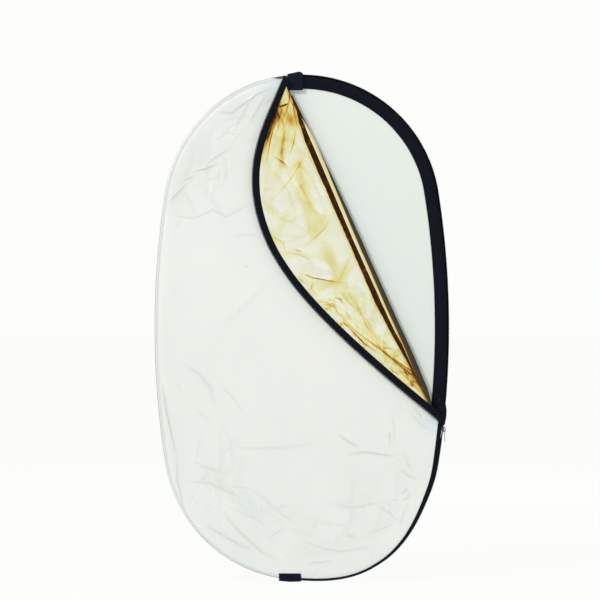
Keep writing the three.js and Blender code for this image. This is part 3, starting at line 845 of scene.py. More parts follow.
def even(line, step=None, count=None):
    """A polyline resampled at even steps."""
    along = along_of(line)
    n = count or max(2, int(along[-1] / step) + 1)
    at = np.linspace(0, along[-1], n)
    return np.stack([np.interp(at, along, line[:, k]) for k in range(3)], axis=-1)


def corner_rail(offset, y_shut, step=0.002):
    """A line along the corner at rest, from slider to top, at an offset from its edge when shut."""
    d = np.linspace(CORNER_FIRST, CORNER_LAST, 900)
    x, z = outline(d, offset + drift(d))
    line = to_rest(np.stack([x, np.broadcast_to(y_shut, x.shape), z], axis=-1))
    share = (TAPE_OUTER - offset) / (TAPE + TAPE_OUTER)
    tip = [
        TIP_OUTER[0] + share * (TIP_INNER[0] - TIP_OUTER[0]), line[-1, 1],
        TIP_OUTER[1] + share * (TIP_INNER[1] - TIP_OUTER[1])
    ]
    return even(relaxed(even(np.vstack([line, tip]), step=0.004), 30), step=step)


def crinkles(seed, count):
    """Short seeded creases of the gold lining beside the tape, in the corner's lower half."""
    r = np.random.default_rng(seed)
    edge = corner_rail(-0.02, -LINING_Y, 0.004)
    s, _ = fold_place(edge)
    edge = edge[(s > 0.4) & (s < 0.76)]
    way = heading(edge)
    lines = []
    for _ in range(count):
        i = r.integers(len(edge))
        tilt, length = math.radians(r.normal(0, 26)), r.uniform(0.014, 0.05)
        in_by = 0.002 + abs(r.normal(0, 0.016))
        x = edge[i, 0] + way[i, 2] * in_by
        z = edge[i, 2] - way[i, 0] * in_by
        dx = way[i, 0] * math.cos(tilt) - way[i, 2] * math.sin(tilt)
        dz = way[i, 2] * math.cos(tilt) + way[i, 0] * math.sin(tilt)
        bend = r.normal(0, 0.1 * length)
        lines.append(
            (
                r.uniform(2.2, 4.0), r.uniform(0.5, 1.3) * r.choice([-1, 1]), r.uniform(0.3, 0.8),
                [
                    (1e3 * (x - dx * length / 2), 1e3 * (z - dz * length / 2)),
                    (1e3 * (x + dz * bend), 1e3 * (z - dx * bend)),
                    (1e3 * (x + dx * length / 2), 1e3 * (z + dz * length / 2))
                ]
            )
        )
    return lines


def corner_relief(co):
    """How far the corner's cloth stands out at rest, and the gold's painted reflection and painted shade, at each
    point.
    """
    s, a = fold_place(co)
    lift, shade = creases(co, GOLD_CREASES + crinkles(17, 46))
    lift += 0.0022 * wander(co, 0.085, 4.4) + 0.0011 * wander(co, 0.034, 8.3)
    ridge = facets(co, 0.052, 2.2)
    lift += 0.0009 * ridge
    long_way = np.stack([a * 3.2, 0 * a, s], axis=-1)
    tone = 1.0 + 0.08 * wander(long_way, 0.09, 5.5) + 0.04 * wander(co, 0.02, 6.6)
    # painted reflection: long bands, yellower than the pale cloth round them, with one crisp side each
    band = np.mod(2.1 * wander(long_way, 0.2, 9.4), 1.0)
    tone -= 0.2 * np.clip(1 - band / 0.5, 0, 1) * smooth(band, 0.0, 0.05)
    # painted shade along the borders of the crumpled facets
    tone -= 0.12 * (1 - ridge) ** 2 * smooth(wander(co, 0.12, 12.2), -0.1, 0.5)
    # the crumpled lower third, creased most beside the tape: raised crumple lines with painted shade along them
    low = smooth(s, 0.4, 0.52) * (0.35 + 0.65 * (1 - smooth(inset_of_corner(co), 0.012, 0.05)))
    low *= 1 - 0.8 * smooth(s, 0.66, 0.76)
    slant = np.stack([a * 1.6, 0 * a, s], axis=-1)
    for scale, seed, strength in ((0.03, 4.7, 0.5), (0.015, 8.2, 0.34)):
        border = (1 - facets(slant, scale, seed)) ** 2
        tone -= strength * low * border * smooth(wander(co, 0.05, seed), -0.35, 0.2)
        lift += 0.0008 * low * border
    # painted reflection, darker near the upper tip and down the lower part
    tone -= 0.15 * (1 - smooth(s, 0.03, 0.16)) + 0.1 * smooth(s, 0.58, 0.74)
    # painted reflection: streaks run down from the upper tip
    fan = np.stack([a / np.maximum(s, 0.03) * 0.1, 0 * a, 0.16 * s], axis=-1)
    tone -= 0.14 * (1 - smooth(s, 0.1, 0.2)) * smooth(wander(fan, 0.013, 3.9), 0.0, 0.4)
    x, z = co[:, 0] * 1000, co[:, 2] * 1000
    # painted reflection: the yellower pools
    for cx, cz, reach, width, lean, strength in GOLD_POOLS:
        c, n = math.cos(math.radians(lean)), math.sin(math.radians(lean))
        u, v = (x - cx) * c + (z - cz) * n, (z - cz) * c - (x - cx) * n
        tone -= strength * np.exp(-((u / reach) ** 2) - (v / width) ** 2)
    # the dark furrow beside the fold, where the cloth turns down before it rises into the roll: a shallow groove,
    # painted dark brown with lighter notches as painted shade
    ragged = 0.0009 * waver(s, 0.013, 1.9) + 0.0008 * waver(s, 0.05, 7.9)
    inner = -furrow_width(s) + ragged
    end = FURROW_END + 0.0024 * smooth(s, 0.6, 0.66) + 0.0036 * (1 - smooth(s, 0.05, 0.09))
    dark = smooth(a, inner - 0.0006, inner + 0.0012) * (1 - smooth(a, end - 0.0004, end + 0.0008))
    notch = smooth(waver(s, 0.021, 4.2) + 0.35 * wander(co, 0.006, 3.1), 0.3, 0.62)
    middle = (a - 0.5 * (inner + FURROW_END)) / (0.55 * furrow_width(s))
    lift -= 0.0036 * np.exp(-(middle**2)) * smooth(s, 0.0, 0.08)
    # painted reflection: a yellower glow just inside the furrow
    glow = np.exp(-(((a - inner + 0.0022) / 0.0022) ** 2))
    tone = np.minimum(tone, 1.0)
    # painted shade along the creases
    tone = tone * (1 - shade) - 0.05 * shade
    tone = tone * (1 - 0.35 * glow)
    tone = tone * (1 - dark) + dark * (0.015 + 0.11 * notch)
    return lift, np.clip(tone, 0, 1)


FURROW_END = -0.002


def bow(s):
    """How far the fold strays from a straight line."""
    return np.interp(
        s, [0.0, 0.1, 0.22, 0.37, 0.55, 0.66, 0.8],
        [0.003, 0.004, 0.0022, -0.0012, -0.0012, 0.0008, 0.001]
    )


def inset_of_corner(co):
    """How far each point of the corner at rest lies from the corner's own edge."""
    edge = corner_rail(0.0, -LINING_Y, 0.02)
    return np.min(
        np.hypot(co[:, None, 0] - edge[None, :, 0], co[:, None, 2] - edge[None, :, 2]), axis=1
    )


def furrow_width(s):
    return np.interp(
        s, [0.0, 0.03, 0.06, 0.108, 0.213, 0.372, 0.53, 0.6, 0.663, 0.72, 0.768],
        [0.003, 0.0043, 0.01, 0.0155, 0.0162, 0.0152, 0.017, 0.0135, 0.0088, 0.004, 0.0005]
    )


def corner_sheet(name, y_shut, offset, cell):
    """The cloth between the fold line and the corner's edge, at rest."""
    edge = corner_rail(offset, y_shut, cell)
    _, a = fold_place(edge)
    inside = np.flatnonzero(a < -0.0012)
    edge = even(edge[inside[0] : inside[-1] + 1], count=inside[-1] - inside[0] + 1)
    s, _ = fold_place(edge)
    share = np.linspace(0, 1, len(edge))
    rows = fold_point(s[0] + (s[-1] - s[0]) * share, 0.0, rest_y(y_shut))
    t = np.linspace(0, 1, int(0.26 / cell))
    p = rows[:, None] + (edge - rows)[:, None] * t[None, :, None]
    return grid(name, p, p[..., [0, 2]])


def make_corner():
    closed = np.array(CLOSED, float)
    for name, y_shut, cell, material, slot, node in (
        ("corner_gold", -LINING_Y, 0.0018, GOLD, "gold_cloth", "flap_lining"),
        ("corner_silver", -OUTER_Y - SILVER_CLEAR, 0.0032, SILVER, "silver_cloth", "flap_outer")
    ):
        o = corner_sheet(name, y_shut, PANEL_EDGE, cell / FINE)
        flat = area_of(o)
        co = coords(o)
        s, a = fold_place(co)
        lift, tone = corner_relief(co)
        shut = co @ closed[:3, :3].T + closed[:3, 3]
        lift *= smooth(inset(shut), 0.01, 0.05) * smooth(-a, 0.0, 0.002)
        co[:, 1] -= lift
        co += (bow(s) * smooth(a, -0.04, 0))[:, None] * ACROSS
        set_coords(o, co)
        # painted shade on the silver side where the gold is painted darker
        paint(o, tone=tone, shade=np.clip(0.6 - tone, 0, 1) * 0.5, cool=0.0)
        finish_sheet(
            o, material, slot, node, "corner", flat=CORNER_FLAT, area=round(flat, 4), held="folded",
            rests_on=["front_silver"]
        )


def make_roll():
    """The cloth of the corner where it turns over on itself, as a half tube down the fold line."""
    s = np.linspace(-ROLL_START, FOLD_LENGTH, int(420 * FINE))
    turns = np.radians(np.linspace(-90, 90, 33))
    wobble = waver(s, 0.05, 3.3)
    reach = np.interp(
        s, [0.0, 0.03, 0.08, 0.108, 0.213, 0.372, 0.53, 0.663, 0.768, 0.81],
        [0.003, 0.004, 0.005, 0.0062, 0.0113, 0.016, 0.0158, 0.015, 0.0126, 0.006]
    )
    # painted highlight and painted shade: the angle up the tube where the painted bright crest gives way to the
    # painted dark side
    crest = np.interp(
        s, [0.0, 0.05, 0.08, 0.108, 0.16, 0.213, 0.372, 0.53, 0.663, 0.75, 0.8],
        [97, 95, 32, 8, 36, 61, 70, 75, 79, 88, 95],
    )  # degrees up the tube where its bright crest gives way to its dark side
    for name, inner, material, slot in (
        ("fold_gold", 0.0, GOLD, "gold_cloth"),
        ("fold_silver", OUTER_Y - LINING_Y, SILVER, "silver_cloth")
    ):
        out = reach + 0.0004 * wobble - inner
        a = bow(s)[:, None] + out[:, None] * np.cos(turns)[None, :]
        y = HINGE[1] - (RADIUS - inner) * np.sin(turns)[None, :]
        p = fold_point(s[:, None], a, y)
        v = (RADIUS * turns)[None, :] + 0 * s[:, None]
        o = grid(name, p[:, ::-1], np.stack([s[:, None] + 0 * v, v], axis=-1)[:, ::-1])
        lit = np.broadcast_to(np.degrees(turns)[None, :], v.shape)[:, ::-1]
        edge = crest[:, None] + 3 * wobble[:, None]
        bright = np.interp(s, [0.05, 0.37, 0.53, 0.66, 0.8], [0.7, 0.68, 0.56, 0.34, 0.2])
        shaded = np.interp(
            s, [0.06, 0.1, 0.213, 0.372, 0.53, 0.663, 0.768], [0.03, 0.3, 0.2, 0.13, 0.08, 0.05, 0.03]
        )
        bright = bright - shaded + 0.05 * wobble
        # painted highlight on the crest and painted shade on the far side, which is also painted olive
        tone = shaded[:, None] + bright[:, None] * smooth(lit, edge - 4, edge + 4)
        cool = (1 - smooth(lit, edge - 7, edge + 4)) * smooth(s, 0.05, 0.1)[:, None]
        paint(
            o, tone=np.clip(tone + 0.03 * wobble[:, None], 0, 1), shade=0.0,
            cool=cool if slot == "gold_cloth" else 0.0
        )
        dress(o, material)
        fold_point(0, 0, HINGE[1] + BLEND_DEPTH)
        fold_point(0, 0, HINGE[1] - BLEND_DEPTH)
        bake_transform(o)
        if slot == "gold_cloth":
            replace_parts(o, "fold_roll")


def make_strip():
    """The cloth between the front panel's cut edge and the fold, which the corner lies on."""
    across = np.linspace(-STRIP, STRIP_TUCK, 13)
    for name, y, material, slot in (
        ("strip_silver", -OUTER_Y, SILVER, "silver_cloth"),
        ("strip_gold", -LINING_Y, GOLD, "gold_cloth")
    ):
        # its top end follows the oval
        s = np.linspace(-0.09, 0.0, 400)
        deep = inset(fold_point(s[:, None], across[None, :], y).reshape(-1, 3))
        outside = deep.reshape(len(s), -1) < -PANEL_EDGE
        top = s[outside.argmin(axis=0)]
        share = np.linspace(0, 1, int(200 * FINE))[:, None]
        p = fold_point(top + (STRIP_END - top) * share, across[None, :], y)
        o = grid(name, p, p[..., [0, 2]])
        # painted sheen as on the front panel, no painted shade, and a fixed gold value
        paint(o, shade=0.0, cool=painted_sheen_at(coords(o)), tone=0.7)
        dress(o, material)
        fold_point(0, 0.001 - STRIP, y)
        fold_point(0, -0.001, y)
        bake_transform(o)


# ---------------------------------------------------------------- tapes, hems and stitches


def closed_band(name, p, along):
    """A closed strip of cloth from its cross-sections p[i], whose points run round it, ends filled."""
    ring = np.concatenate([p, p[:, :1]], axis=1)
    width = np.cumsum(np.linalg.norm(np.diff(ring, axis=1), axis=2), axis=1)
    uv = np.zeros((len(p), p.shape[1] + 1, 2))
    uv[..., 0] = along[:, None]
    uv[:, 1:, 1] = width
    o = grid(name, p, uv, closed_v=True)

    def close_ends(bm):
        bmesh.ops.holes_fill(bm, edges=[e for e in bm.edges if e.is_boundary], sides=0)
        bmesh.ops.recalc_face_normals(bm, faces=bm.faces[:])

    edit_mesh(o, close_ends)
    cloth = (round(float(width[:, -1].mean()) / 2, 4), round(float(along[-1]), 3))
    return o, cloth


def thickened(middle):
    """The closed section, in metres, of a tape along a middle line of (offset, depth) points in mm."""
    middle = np.array(middle, float)
    t = np.gradient(middle, axis=0)
    side = np.stack([-t[:, 1], t[:, 0]], axis=-1) / np.linalg.norm(t, axis=1)[:, None]
    side *= TAPE_THICK / 2
    return 1e-3 * np.vstack([middle + side, (middle - side)[::-1]])


def ribbon(name, first, last, profile, step):
    """A closed band along the oval, whose section, profile(share of the way), has (offset, y) points."""
    d, along = directions(first, last, step / FINE)
    p = []
    for i, x in enumerate(d):
        row = np.array(profile(i / (len(d) - 1)))
        px, pz = outline(np.full(len(row), x), row[:, 0])
        p.append(np.stack([px, row[:, 1], pz], axis=-1))
    return closed_band(name, np.array(p), along)


def stitches(name, centres, forward, out, length, radius, material, body):
    """One short thread bead per centre, lying along forward and standing towards out."""
    ring = np.radians(np.arange(6) * 60)
    rows = [(-0.5, 0.35), (-0.3, 0.9), (0.0, 1.0), (0.3, 0.9), (0.5, 0.35)]
    side = np.cross(forward, out)
    verts = []
    for t, k in rows:
        base = centres + forward * (t * length) - out * (radius * abs(t) * 1.2)
        for r in ring:
            verts.append(base + side * (k * radius * math.cos(r)) + out * (k * radius * math.sin(r)))
    v = np.stack(verts, axis=1)
    n, m = v.shape[:2]
    faces = []
    quads = [
        (a * 6 + b, a * 6 + (b + 1) % 6, (a + 1) * 6 + (b + 1) % 6, (a + 1) * 6 + b) for a in range(4)
        for b in range(6)
    ]
    for i in range(n):
        faces += [tuple(i * m + q for q in quad) for quad in quads]
        faces.append(tuple(i * m + q for q in range(5, -1, -1)))
        faces.append(tuple(i * m + 24 + q for q in range(6)))
    o = new_object(name, v.reshape(-1, 3), faces)
    dress(o, material)
    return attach(o, body)


def heading(line):
    t = np.gradient(line, axis=0)
    return t / np.linalg.norm(t, axis=1)[:, None]


def oval_line(first, last, offset, y, step):
    d, _ = directions(first, last, step)
    x, z = outline(d, offset)
    return np.stack([x, np.full(len(d), y), z], axis=-1)


def seam(name, line, facing, material, body, length=0.0026, radius=0.00032):
    """A row of stitches, one at each point of a line, standing to the front (-1) or the back (1)."""
    out = np.tile([0.0, facing, 0.0], (len(line), 1))
    return stitches(name, line, heading(line), out, length, radius, material, body)


def coil(name, path, body, node):
    """A nylon zip coil: a flattened helix along path(step)."""
    pitch, steps = 0.0015, 10
    line = path(pitch / steps)
    n = len(line)
    t = heading(line)
    side = np.cross(t, [0.0, 1.0, 0.0])
    side /= np.linalg.norm(side, axis=1)[:, None]
    phase = np.arange(n) * (2 * np.pi / steps)
    line = line + 0.00125 * np.cos(phase)[:, None] * side
    line[:, 1] += 0.001 * np.sin(phase)
    t = heading(line)
    up = np.cross(t, [0.0, 1.0, 0.0])
    up /= np.linalg.norm(up, axis=1)[:, None]
    side = np.cross(t, up)
    ring = np.radians(np.arange(5) * 72)[None, :, None]
    p = line[:, None] + 0.00034 * (np.cos(ring) * up[:, None] + np.sin(ring) * side[:, None])
    uv = np.zeros((n, 6, 2))
    uv[..., 0], uv[..., 1] = along_of(line)[:, None], np.linspace(0, 0.002, 6)[None, :]
    o = grid(name, p, uv, closed_v=True)
    dress(o, COIL)
    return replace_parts(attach(o, body), node)


def make_rim():
    """The binding: a cloth tape folded round the spring band and hemmed onto the diffuser."""
    d, along = directions(0, 360, 0.0035 / FINE)
    d = d[:-1]
    profile = np.array(
        [
            (-35.0, -1.1), (-34.2, -1.7), (-32.0, -1.9), (-29.0, -2.3), (-26.0, -3.0), (-22.0, -4.0),
            (-18.0, -4.8), (-14.0, -5.3), (-10.5, -5.4), (-8.2, -4.6), (-6.9, -3.0), (-6.4, -1.0)
        ]
    ) * 1e-3
    back = profile[::-1] * [1, -1]
    profile = np.vstack([profile, back])
    cloth = run_of(*profile.T)
    n, m = len(d), len(profile)
    p, uv = np.zeros((n, m, 3)), np.zeros((n + 1, m, 2))
    pucker, slow = waver(along[:-1], 0.011, 2.0), waver(along[:-1], 0.06, 5.0)
    for j, (off, y) in enumerate(profile):
        hold = math.exp(-(((off + 0.024) / 0.007) ** 2))
        amount = np.sign(y) * (0.00045 * pucker + 0.0003 * slow) * hold
        x, z = outline(d, off + 0.0003 * slow)
        p[:, j] = np.stack([x, y + amount, z], axis=-1)
    uv[..., 0], uv[..., 1] = along[:, None], cloth[None, :]
    o = grid("rim_cloth", p, uv, closed_u=True)
    finish_sheet(
        o, BINDING, "binding_cloth", "rim_binding",
        flat=(round(float(cloth[-1]), 3), round(float(along[-1]), 2)), held="folded",
        rests_on=["spring_steel_band"]
    )
    for tag, y, facing in (("front", -0.00205, -1), ("back", 0.00205, 1)):
        for row, offset in (("hem", -0.0326), ("second", -0.0296)):
            line = oval_line(0, 360, offset, y * (1.1 if row == "second" else 1), 0.0038)
            seam(f"rim_stitch_{tag}_{row}", line, facing, THREAD, "disc")


def make_corner_tape():
    inner, outer = [corner_rail(x, CORNER_TAPE_Y, 0.004) for x in (-CORNER_TAPE, TAPE_OUTER)]
    outer = even(outer, count=len(inner))
    # it narrows where it runs in to the slider
    left = np.linalg.norm(inner - inner[np.argmin(inner[:, 2])], axis=1)
    inner = outer + (inner - outer) * (0.3 + 0.7 * smooth(left, 0.0, 0.02))[:, None]
    y = rest_y(CORNER_TAPE_Y)
    u = np.array([0.0, 0.04, 0.25, 0.5, 0.75, 0.96, 1.0])
    thick = np.interp(u, [0, 0.04, 0.5, 0.96, 1], [0.0001, 0.0004, 0.0005, 0.0004, 0.0001])
    thick = np.concatenate([-thick, thick[::-1]])
    share = np.concatenate([u, u[::-1]])
    p = inner[:, None] + (outer - inner)[:, None] * share[None, :, None]
    ripple = 0.0005 * wander(inner, 0.03, 5.2) + 0.0003 * wander(inner, 0.011, 6.2)
    p[..., 1] = y + thick[None, :] + ripple[:, None] * (1 - share)[None, :]
    o, cloth = closed_band("corner_tape", p, along_of(inner))
    finish_sheet(
        o, BINDING, "binding_cloth", "flap_zip_tape", "corner", flat=cloth, held="stretched",
        rests_on=["corner_gold"]
    )
    for row, offset in (("inner", -0.0177), ("outer", -0.0058)):
        line = corner_rail(offset, CORNER_TAPE_Y, 0.0034)[1:-2]
        line[:, 1] = y - 0.0006
        seam(f"corner_tape_stitch_{row}", line, -1, THREAD, "corner")
    coil("corner_coil", lambda step: corner_rail(-0.0016, -0.0071, step), "corner", "flap_zip_coil")


def make_tapes():
    first = ZIP_BOTTOM - 360
    back = thickened(
        [(-17, 8.5), (-12, 8.7), (-7.5, 8.8), (-4.6, 8.7), (-2.9, 7.8), (-2.0, 5.8), (-0.9, 4.0)]
    )
    o, cloth = ribbon("back_tape", first, ZIP_TOP, lambda share: back, 0.005)
    finish_sheet(
        o, BINDING, "binding_cloth", "zip_tape_back", flat=cloth, held="stretched",
        rests_on=["back_black"]
    )
    for row, offset in (("inner", -0.0157), ("outer", -0.0078)):
        line = oval_line(first, ZIP_TOP, offset, 0.009, 0.0036)
        seam(f"back_tape_stitch_{row}", line, 1, THREAD, "disc")
    coil(
        "back_coil", lambda step: oval_line(first, ZIP_TOP, -0.0014, 0.0021, step), "disc",
        "zip_coil_back"
    )

    def front(share):
        wide = 15.0 - 8.2 * smooth(1 - share, 0.0, 0.75)
        by_slider = smooth(share, 0.936, 0.95)
        below = np.array(
            [
                (-wide, -8.8), (-0.5 * wide - 2.6, -9.0), (-4.6, -8.8), (-2.9, -7.8), (-2.0, -5.8),
                (-0.9, -4.0)
            ]
        )
        beside = np.array(
            [
                (-wide, -8.8), (-0.5 * wide - 3.4, -9.0), (-6.4, -8.9), (-5.8, -8.6), (-5.4, -8.2),
                (-5.0, -7.8)
            ]
        )
        return thickened(below + by_slider * (beside - below))

    last = SLIDER - 0.35
    o, cloth = ribbon("front_tape", first, SLIDER + 0.36, front, 0.004)
    finish_sheet(
        o, BINDING, "binding_cloth", "zip_tape_front_lower", flat=cloth, held="stretched",
        rests_on=["front_silver"]
    )
    line = oval_line(first, last - 0.3, -0.0062, -0.0093, 0.0034)
    seam("front_tape_stitch", line, -1, THREAD, "disc", radius=0.00026)
    coil(
        "front_coil", lambda step: oval_line(first, last, -0.0014, -0.0021, step), "disc",
        "zip_coil_front_lower"
    )


def make_side_hem():
    """The sewn edge on the side with no zip, with its grey overlocked rim."""
    profile = np.array(
        [
            (-7.5, -8.1), (-5.5, -8.5), (-3.4, -8.2), (-1.8, -6.8), (-0.8, -4.2), (-0.4, 0.0),
            (-0.8, 4.2), (-1.8, 6.8), (-3.4, 8.2), (-5.5, 8.5), (-7.5, 8.1)
        ]
    ) * 1e-3
    d, along = directions(ZIP_TOP + 0.4, ZIP_BOTTOM - 0.4, 0.004 / FINE)
    cloth = run_of(*profile.T)
    p, uv = np.zeros((len(d), len(profile), 3)), np.zeros((len(d), len(profile), 2))
    slow, quick = waver(along, 0.05, 6.1), waver(along, 0.014, 8.8)
    for j, (off, y) in enumerate(profile):
        x, z = outline(d, off + 0.0005 * slow - 0.0003)
        p[:, j] = np.stack([x, y + np.sign(y) * 0.0003 * quick, z], axis=-1)
    uv[..., 0], uv[..., 1] = along[:, None], cloth[None, :]
    o = grid("side_hem", p, uv)
    dark = np.interp(
        d, [94, 104, 112, 128, 136, 165, 172, 186, 191, 200, 214, 222, 236, 248, 262],
        [0.3, 0.5, 0.85, 0.6, 0.12, 0.1, 0.45, 0.5, 0.25, 0.14, 0.3, 0.6, 0.55, 0.85, 0.95]
    )
    dark = np.clip(dark + 0.18 * quick, 0, 1)
    weight = np.array([0, 0, 0.12, 0.7, 1, 1, 1, 1, 0.9, 0.9, 0.9])
    shade = dark[:, None] * weight[None, :]
    # the zip's end reaches in over the hem beside the top tab
    reach = 104.5 - 1.1 * (np.arange(len(profile))[::-1].clip(6, 10) - 6)
    shade = np.maximum(shade, 1 - smooth(d[:, None], reach - 1.5, reach))
    paint(o, shade=shade)
    finish_sheet(
        o, HEM, "silver_cloth", "cover_side_seam",
        flat=(round(float(cloth[-1]), 3), round(float(along[-1]), 2)), held="folded",
        rests_on=["front_silver", "back_black"]
    )
    for tag, y, facing, thread in (("front", -0.0086, -1, GREY_THREAD), ("back", 0.0086, 1, THREAD)):
        line = oval_line(ZIP_TOP + 0.6, ZIP_BOTTOM - 0.6, -0.0058, y, 0.0036)
        seam(f"side_hem_stitch_{tag}", line, facing, thread, "disc", radius=0.00022)


def make_tab(name, node, path, ends, inner):
    """A webbing tab folded over the rim at a zip's end.

    path is its middle line from front to back as (share of its height, y in metres), ends its
    outer edge as (x, z) points, and inner the z of its two sewn-down edges.
    """
    path = np.array(path, float)
    n = int(44 * FINE) + 8
    k = np.linspace(0, len(path) - 1, n)
    rise, y = [relaxed(np.interp(k, np.arange(len(path)), path[:, i]), 3) for i in (0, 1)]
    ends = np.array(ends, float)
    x = np.linspace(ends[0, 0], ends[-1, 0], 19)
    outer = np.interp(x, ends[:, 0], ends[:, 1])
    p = np.zeros((n, len(x), 3))
    p[..., 0] = x
    p[..., 1] = y[:, None]
    p[..., 2] = inner + rise[:, None] * (outer - inner)
    middle = p[:, 9]
    uv = np.stack([along_of(middle)[:, None] + 0 * x, x + 0 * y[:, None]], axis=-1)
    o = grid(name, p, uv)
    thicken(o, 0.0011)
    soft = o.modifiers.new("edge", "BEVEL")
    soft.width, soft.segments = 0.0003, 2
    width = abs(float(x[-1] - x[0]))
    finish_sheet(
        o, TAB_CLOTH, "binding_cloth", node,
        flat=(round(width, 3), round(float(along_of(middle)[-1]), 3)), held="folded",
        rests_on=["rim_cloth"]
    )


def box_stitch(name, x0, x1, z0, z1, y, facing, step=0.0032):
    """A sewn rectangle with a cross in it, on a face at depth y."""
    corners = [(x0, z0), (x1, z0), (x1, z1), (x0, z1), (x0, z0), (x1, z1)]
    rows = [*zip(corners[:-1], corners[1:]), ((x0, z1), (x1, z0))]
    centres, forward = [], []
    for a, b in rows:
        a, b = np.array(a), np.array(b)
        length = np.linalg.norm(b - a)
        for k in range(int(length / step)):
            q = a + (b - a) * ((k + 0.5) * step / length)
            centres.append((q[0], y, q[1]))
            forward.append(((b - a)[0] / length, 0, (b - a)[1] / length))
    out = np.tile([0.0, facing, 0.0], (len(centres), 1))
    stitches(
        name, np.array(centres), np.array(forward), out, 0.0023, 0.0003, THREAD, "disc"
    )


def make_tabs():
    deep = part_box("zip_end_tab_top")[1].y - 0.0008
    over = [(0, -deep), (0.5, -deep), (0.9, -deep * 0.97), (1, -deep * 0.5), (1.004, 0)]
    path = over + [(share, -y) for share, y in over[-2::-1]]
    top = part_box("zip_end_tab_top")
    make_tab(
        "top_tab", "zip_end_tab_top", path,
        [(-0.0345, 0.6095), (-0.02, 0.6125), (-0.006, 0.6155), (-0.001, 0.6135), (0.0031, 0.610)],
        top[0].z + 0.0015
    )
    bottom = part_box("zip_end_tab_bottom")
    make_tab(
        "bottom_tab", "zip_end_tab_bottom", path,
        [(-0.055, -0.6105), (-0.03, -0.6128), (-0.002, -0.6122)], bottom[1].z - 0.0005
    )
    for name, (low, high), z0, z1 in (
        ("top_tab_stitch", top, top[0].z + 0.006, top[0].z + 0.032),
        ("bottom_tab_stitch", bottom, bottom[0].z + 0.007, bottom[1].z - 0.004)
    ):
        for tag, facing in (("front", -1), ("back", 1)):
            box_stitch(
                f"{name}_{tag}", low.x + 0.006, high.x - 0.006, z0, z1, facing * (deep + 0.0009), facing
            )


def make_gather():
    """The corner's tape where it runs in to the slider: a short fold of tape that stands off the rim."""
    points = np.array(
        [
            (322, -19.9, -158), (332, -20.2, -172), (337.5, -19.6, -187), (338.8, -18.2, -201),
            (338.3, -15.6, -214), (337.3, -13.0, -225), (335.6, -11.2, -235)
        ]
    ) * 1e-3
    wide = np.array([3.0, 6.5, 8.8, 9.4, 9.2, 8.4, 7.0]) * 1e-3
    k = np.linspace(0, 6, int(40 * FINE) + 8)
    line = np.stack([np.interp(k, np.arange(7), points[:, i]) for i in range(3)], -1)
    line = relaxed(line, 4)
    half = np.interp(k, np.arange(7), wide)
    t = np.gradient(line, axis=0)
    t /= np.linalg.norm(t, axis=1)[:, None]
    side = np.stack([-t[:, 2], 0 * k, t[:, 0]], axis=-1)
    side /= np.linalg.norm(side, axis=1)[:, None]
    u = np.linspace(-1, 1, 9)
    p = line[:, None] + side[:, None] * (u[None, :, None] * half[:, None, None])
    p[..., 1] += 0.0016 * (u**2)[None, :]
    along = along_of(line)
    uv = np.stack([along[:, None] + 0 * u[None, :], (u[None, :] * half[:, None])], -1)
    o = grid("zip_gather", p, uv)
    thicken(o, 0.0009)
    dress(o, BINDING)
    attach(o, "disc")
    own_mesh(o)


def dress_metal():
    for node, material in (
        ("slider_body", ZINC), ("slider_bridge", ZINC), ("pull_tab", ZINC),
        ("slider_lock_spring", STEEL), ("spring_steel_band", STEEL), ("band_splice_sleeve", ZINC)
    ):
        o = frame["nodes"][node]
        o.data.materials.clear()
        o.data.materials.append(material)
        if node in ("slider_body", "slider_bridge", "pull_tab"):
            soft = o.modifiers.new("edge", "BEVEL")
            soft.width, soft.segments, soft.limit_method = 0.00035, 3, "ANGLE"
            soft.use_clamp_overlap = True


# ---------------------------------------------------------------- stage, light and camera


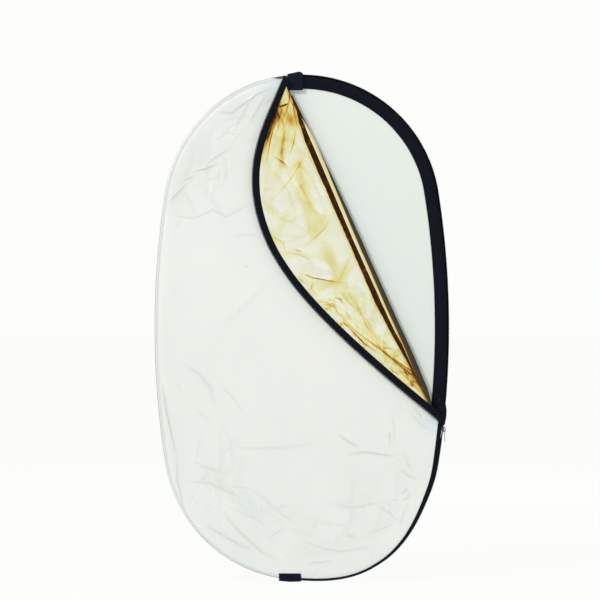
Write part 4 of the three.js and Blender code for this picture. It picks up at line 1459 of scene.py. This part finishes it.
def make_stage():
    floor = new_object(
        "floor", [(-40, -40, 0), (40, -40, 0), (40, 40, 0), (-40, 40, 0)], [(0, 1, 2, 3)]
    )
    floor.location.z = CAD_BOX[0].z - 0.0006
    f = Finish("floor_paint", (0.035, 0.035, 0.035), 0.8, 0.0, Specular_IOR_Level=0.0)
    spots = f.noise(f.space(), 0.6, 2)
    f.color(f.mix(spots, (0.034, 0.036, 0.034), (0.038, 0.04, 0.038)))
    f.b.inputs["Emission Color"].default_value = (0.99, 1, 0.98, 1)
    f.b.inputs["Emission Strength"].default_value = 0.955
    floor.data.materials.append(f.m)

    world = bpy.data.worlds.new("studio")
    bpy.context.scene.world = world
    world.use_nodes = True
    t = world.node_tree
    t.nodes.clear()
    seen = t.nodes.new("ShaderNodeBackground")
    seen.inputs[0].default_value, seen.inputs[1].default_value = (0.978, 0.988, 0.97, 1), 1.0
    lit = t.nodes.new("ShaderNodeBackground")
    lit.inputs[0].default_value, lit.inputs[1].default_value = (0.97, 1.0, 0.98, 1), 0.42
    path, both = t.nodes.new("ShaderNodeLightPath"), t.nodes.new("ShaderNodeMixShader")
    out = t.nodes.new("ShaderNodeOutputWorld")
    t.links.new(path.outputs["Is Camera Ray"], both.inputs[0])
    t.links.new(lit.outputs[0], both.inputs[1])
    t.links.new(seen.outputs[0], both.inputs[2])
    t.links.new(both.outputs[0], out.inputs[0])

    for name, place, size, power in (
        ("key", (-4.2, -4.6, 5.0), 1.1, 310), ("fill", (2.8, -3.4, 0.6), 2.4, 12),
        ("top", (0.3, -0.6, 3.4), 1.6, 14), ("back", (0.8, 3.6, 1.4), 2.2, 40)
    ):
        light = bpy.data.lights.new(name, "AREA")
        light.size, light.energy = size, power
        o = bpy.data.objects.new(name, light)
        o.location = place
        o.rotation_euler = (Vector((0, 0, 0)) - Vector(place)).to_track_quat("-Z", "Y").to_euler()
        bpy.context.scene.collection.objects.link(o)


def make_camera():
    cam = bpy.data.cameras.new("camera")
    cam.lens, cam.sensor_width = 150, 36
    cam.clip_end = 100
    o = bpy.data.objects.new("camera", cam)
    wide = 1.446  # of the view at the object, metres
    distance = wide * cam.lens / cam.sensor_width
    o.location = (-0.0043, -distance, 0.0656)
    o.rotation_euler = (math.pi / 2, 0, 0)
    bpy.context.scene.collection.objects.link(o)
    bpy.context.scene.camera = o


bpy.context.scene.view_settings.view_transform = "Standard"
make_camera()
make_stage()
make_front_panel()
make_back_panel()
make_diffuser_panel()
make_corner()
make_roll()
make_strip()
make_rim()
make_corner_tape()
make_tapes()
make_side_hem()
make_tabs()
make_gather()
dress_metal()

bpy.context.view_layer.update()
